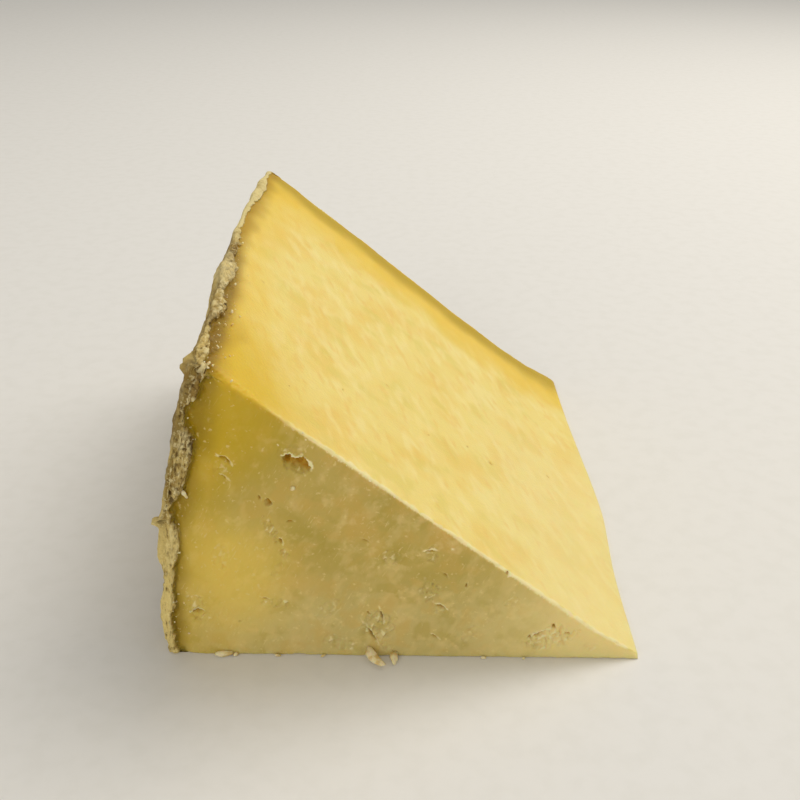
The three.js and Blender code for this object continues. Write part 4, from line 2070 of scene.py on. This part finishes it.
@dataclass(frozen=True)
class Lamp:
    """A square soft light that faces the wedge. Metres and watts."""

    name: str
    place: Vector
    size: float
    power: float
    tint: str

    def hang(self) -> None:
        """Adds the lamp to the scene."""
        data = bpy.data.lights.new(self.name, "AREA")
        data.size = self.size
        data.energy = self.power
        data.color = linear(self.tint)[:3]
        lamp = bpy.data.objects.new(self.name, data)
        lamp.location = self.place
        lamp.rotation_euler = (LIT_PLACE - self.place).to_track_quat("-Z", "Y").to_euler()
        bpy.context.scene.collection.objects.link(lamp)


LIT_PLACE = Vector((0.0, 0.0, 0.03))
LAMPS = (
    Lamp("soft_light", Vector((0.55, 0.45, 1.05)), 0.9, 10.6, "#fffaf2"),
    Lamp("front_fill", Vector((-0.5, -1.2, 0.6)), 1.0, 4.6, "#ffffff"),
)


@dataclass(frozen=True)
class Studio:
    """Floor, soft light and the camera."""

    form: WedgeForm = WedgeForm()
    floor_size: float = 6.0  # in metres
    surroundings: str = "#f3f1ec"
    surroundings_strength: float = 0.45
    # The camera as fitted to the wedge's corners, on the wedge's own axes.
    camera_place: tuple[float, float, float] = (-54.3, -169.7, 147.2)
    yaw: float = math.radians(0.9)
    pitch: float = math.radians(27.1)
    roll: float = math.radians(1.3)
    focal_pixels: float = 1041.0
    picture_width: float = 800.0
    sensor: float = 36.0
    nearest: float = 0.01  # in metres

    def floor(self) -> None:
        """Lays the floor under the wedge."""
        half = self.floor_size / 2
        mesh = bpy.data.meshes.new("floor")
        corners = [(-half, -half, 0), (half, -half, 0), (half, half, 0), (-half, half, 0)]
        mesh.from_pydata(corners, [], [(0, 1, 2, 3)])
        floor = bpy.data.objects.new("floor", mesh)
        bpy.context.scene.collection.objects.link(floor)
        floor.data.materials.append(SweepFinish().material())

    def camera(self) -> None:
        """Places the camera that sees the broken end and the upper cut."""
        ahead = Vector((
            math.sin(self.yaw) * math.cos(self.pitch),
            math.cos(self.yaw) * math.cos(self.pitch),
            -math.sin(self.pitch),
        ))
        level = Vector((math.cos(self.yaw), -math.sin(self.yaw), 0.0))
        above = level.cross(ahead)
        right = level * math.cos(self.roll) + above * math.sin(self.roll)
        up = above * math.cos(self.roll) - level * math.sin(self.roll)
        data = bpy.data.cameras.new("camera")
        data.sensor_width = self.sensor
        data.lens = self.focal_pixels / self.picture_width * self.sensor
        data.clip_start = self.nearest
        camera = bpy.data.objects.new("camera", data)
        turn = Matrix((right, up, -ahead)).transposed().to_4x4()
        place = Vector((np.array(self.camera_place) + self.form.origin) * MM)
        camera.matrix_world = Matrix.Translation(place) @ turn
        bpy.context.scene.collection.objects.link(camera)
        bpy.context.scene.camera = camera

    def light(self) -> None:
        """Sets the soft light and the pale surroundings."""
        for lamp in LAMPS:
            lamp.hang()
        world = bpy.data.worlds.new("surroundings")
        world.use_nodes = True
        inputs = world.node_tree.nodes["Background"].inputs
        inputs["Color"].default_value = linear(self.surroundings)
        inputs["Strength"].default_value = self.surroundings_strength
        bpy.context.scene.world = world
        bpy.context.scene.view_settings.view_transform = "Standard"

    def build(self) -> None:
        """Sets up the whole studio."""
        self.floor()
        self.camera()
        self.light()


def main() -> None:
    """Builds the wedge and its studio."""
    logging.basicConfig(level=logging.INFO, format="%(message)s")
    Studio().build()
    wedge, crumbs = CheeseWedge(), Crumbs()
    wedge.dress(wedge.build())
    crumbs.dress(crumbs.build())


if __name__ == "__main__":
    main()
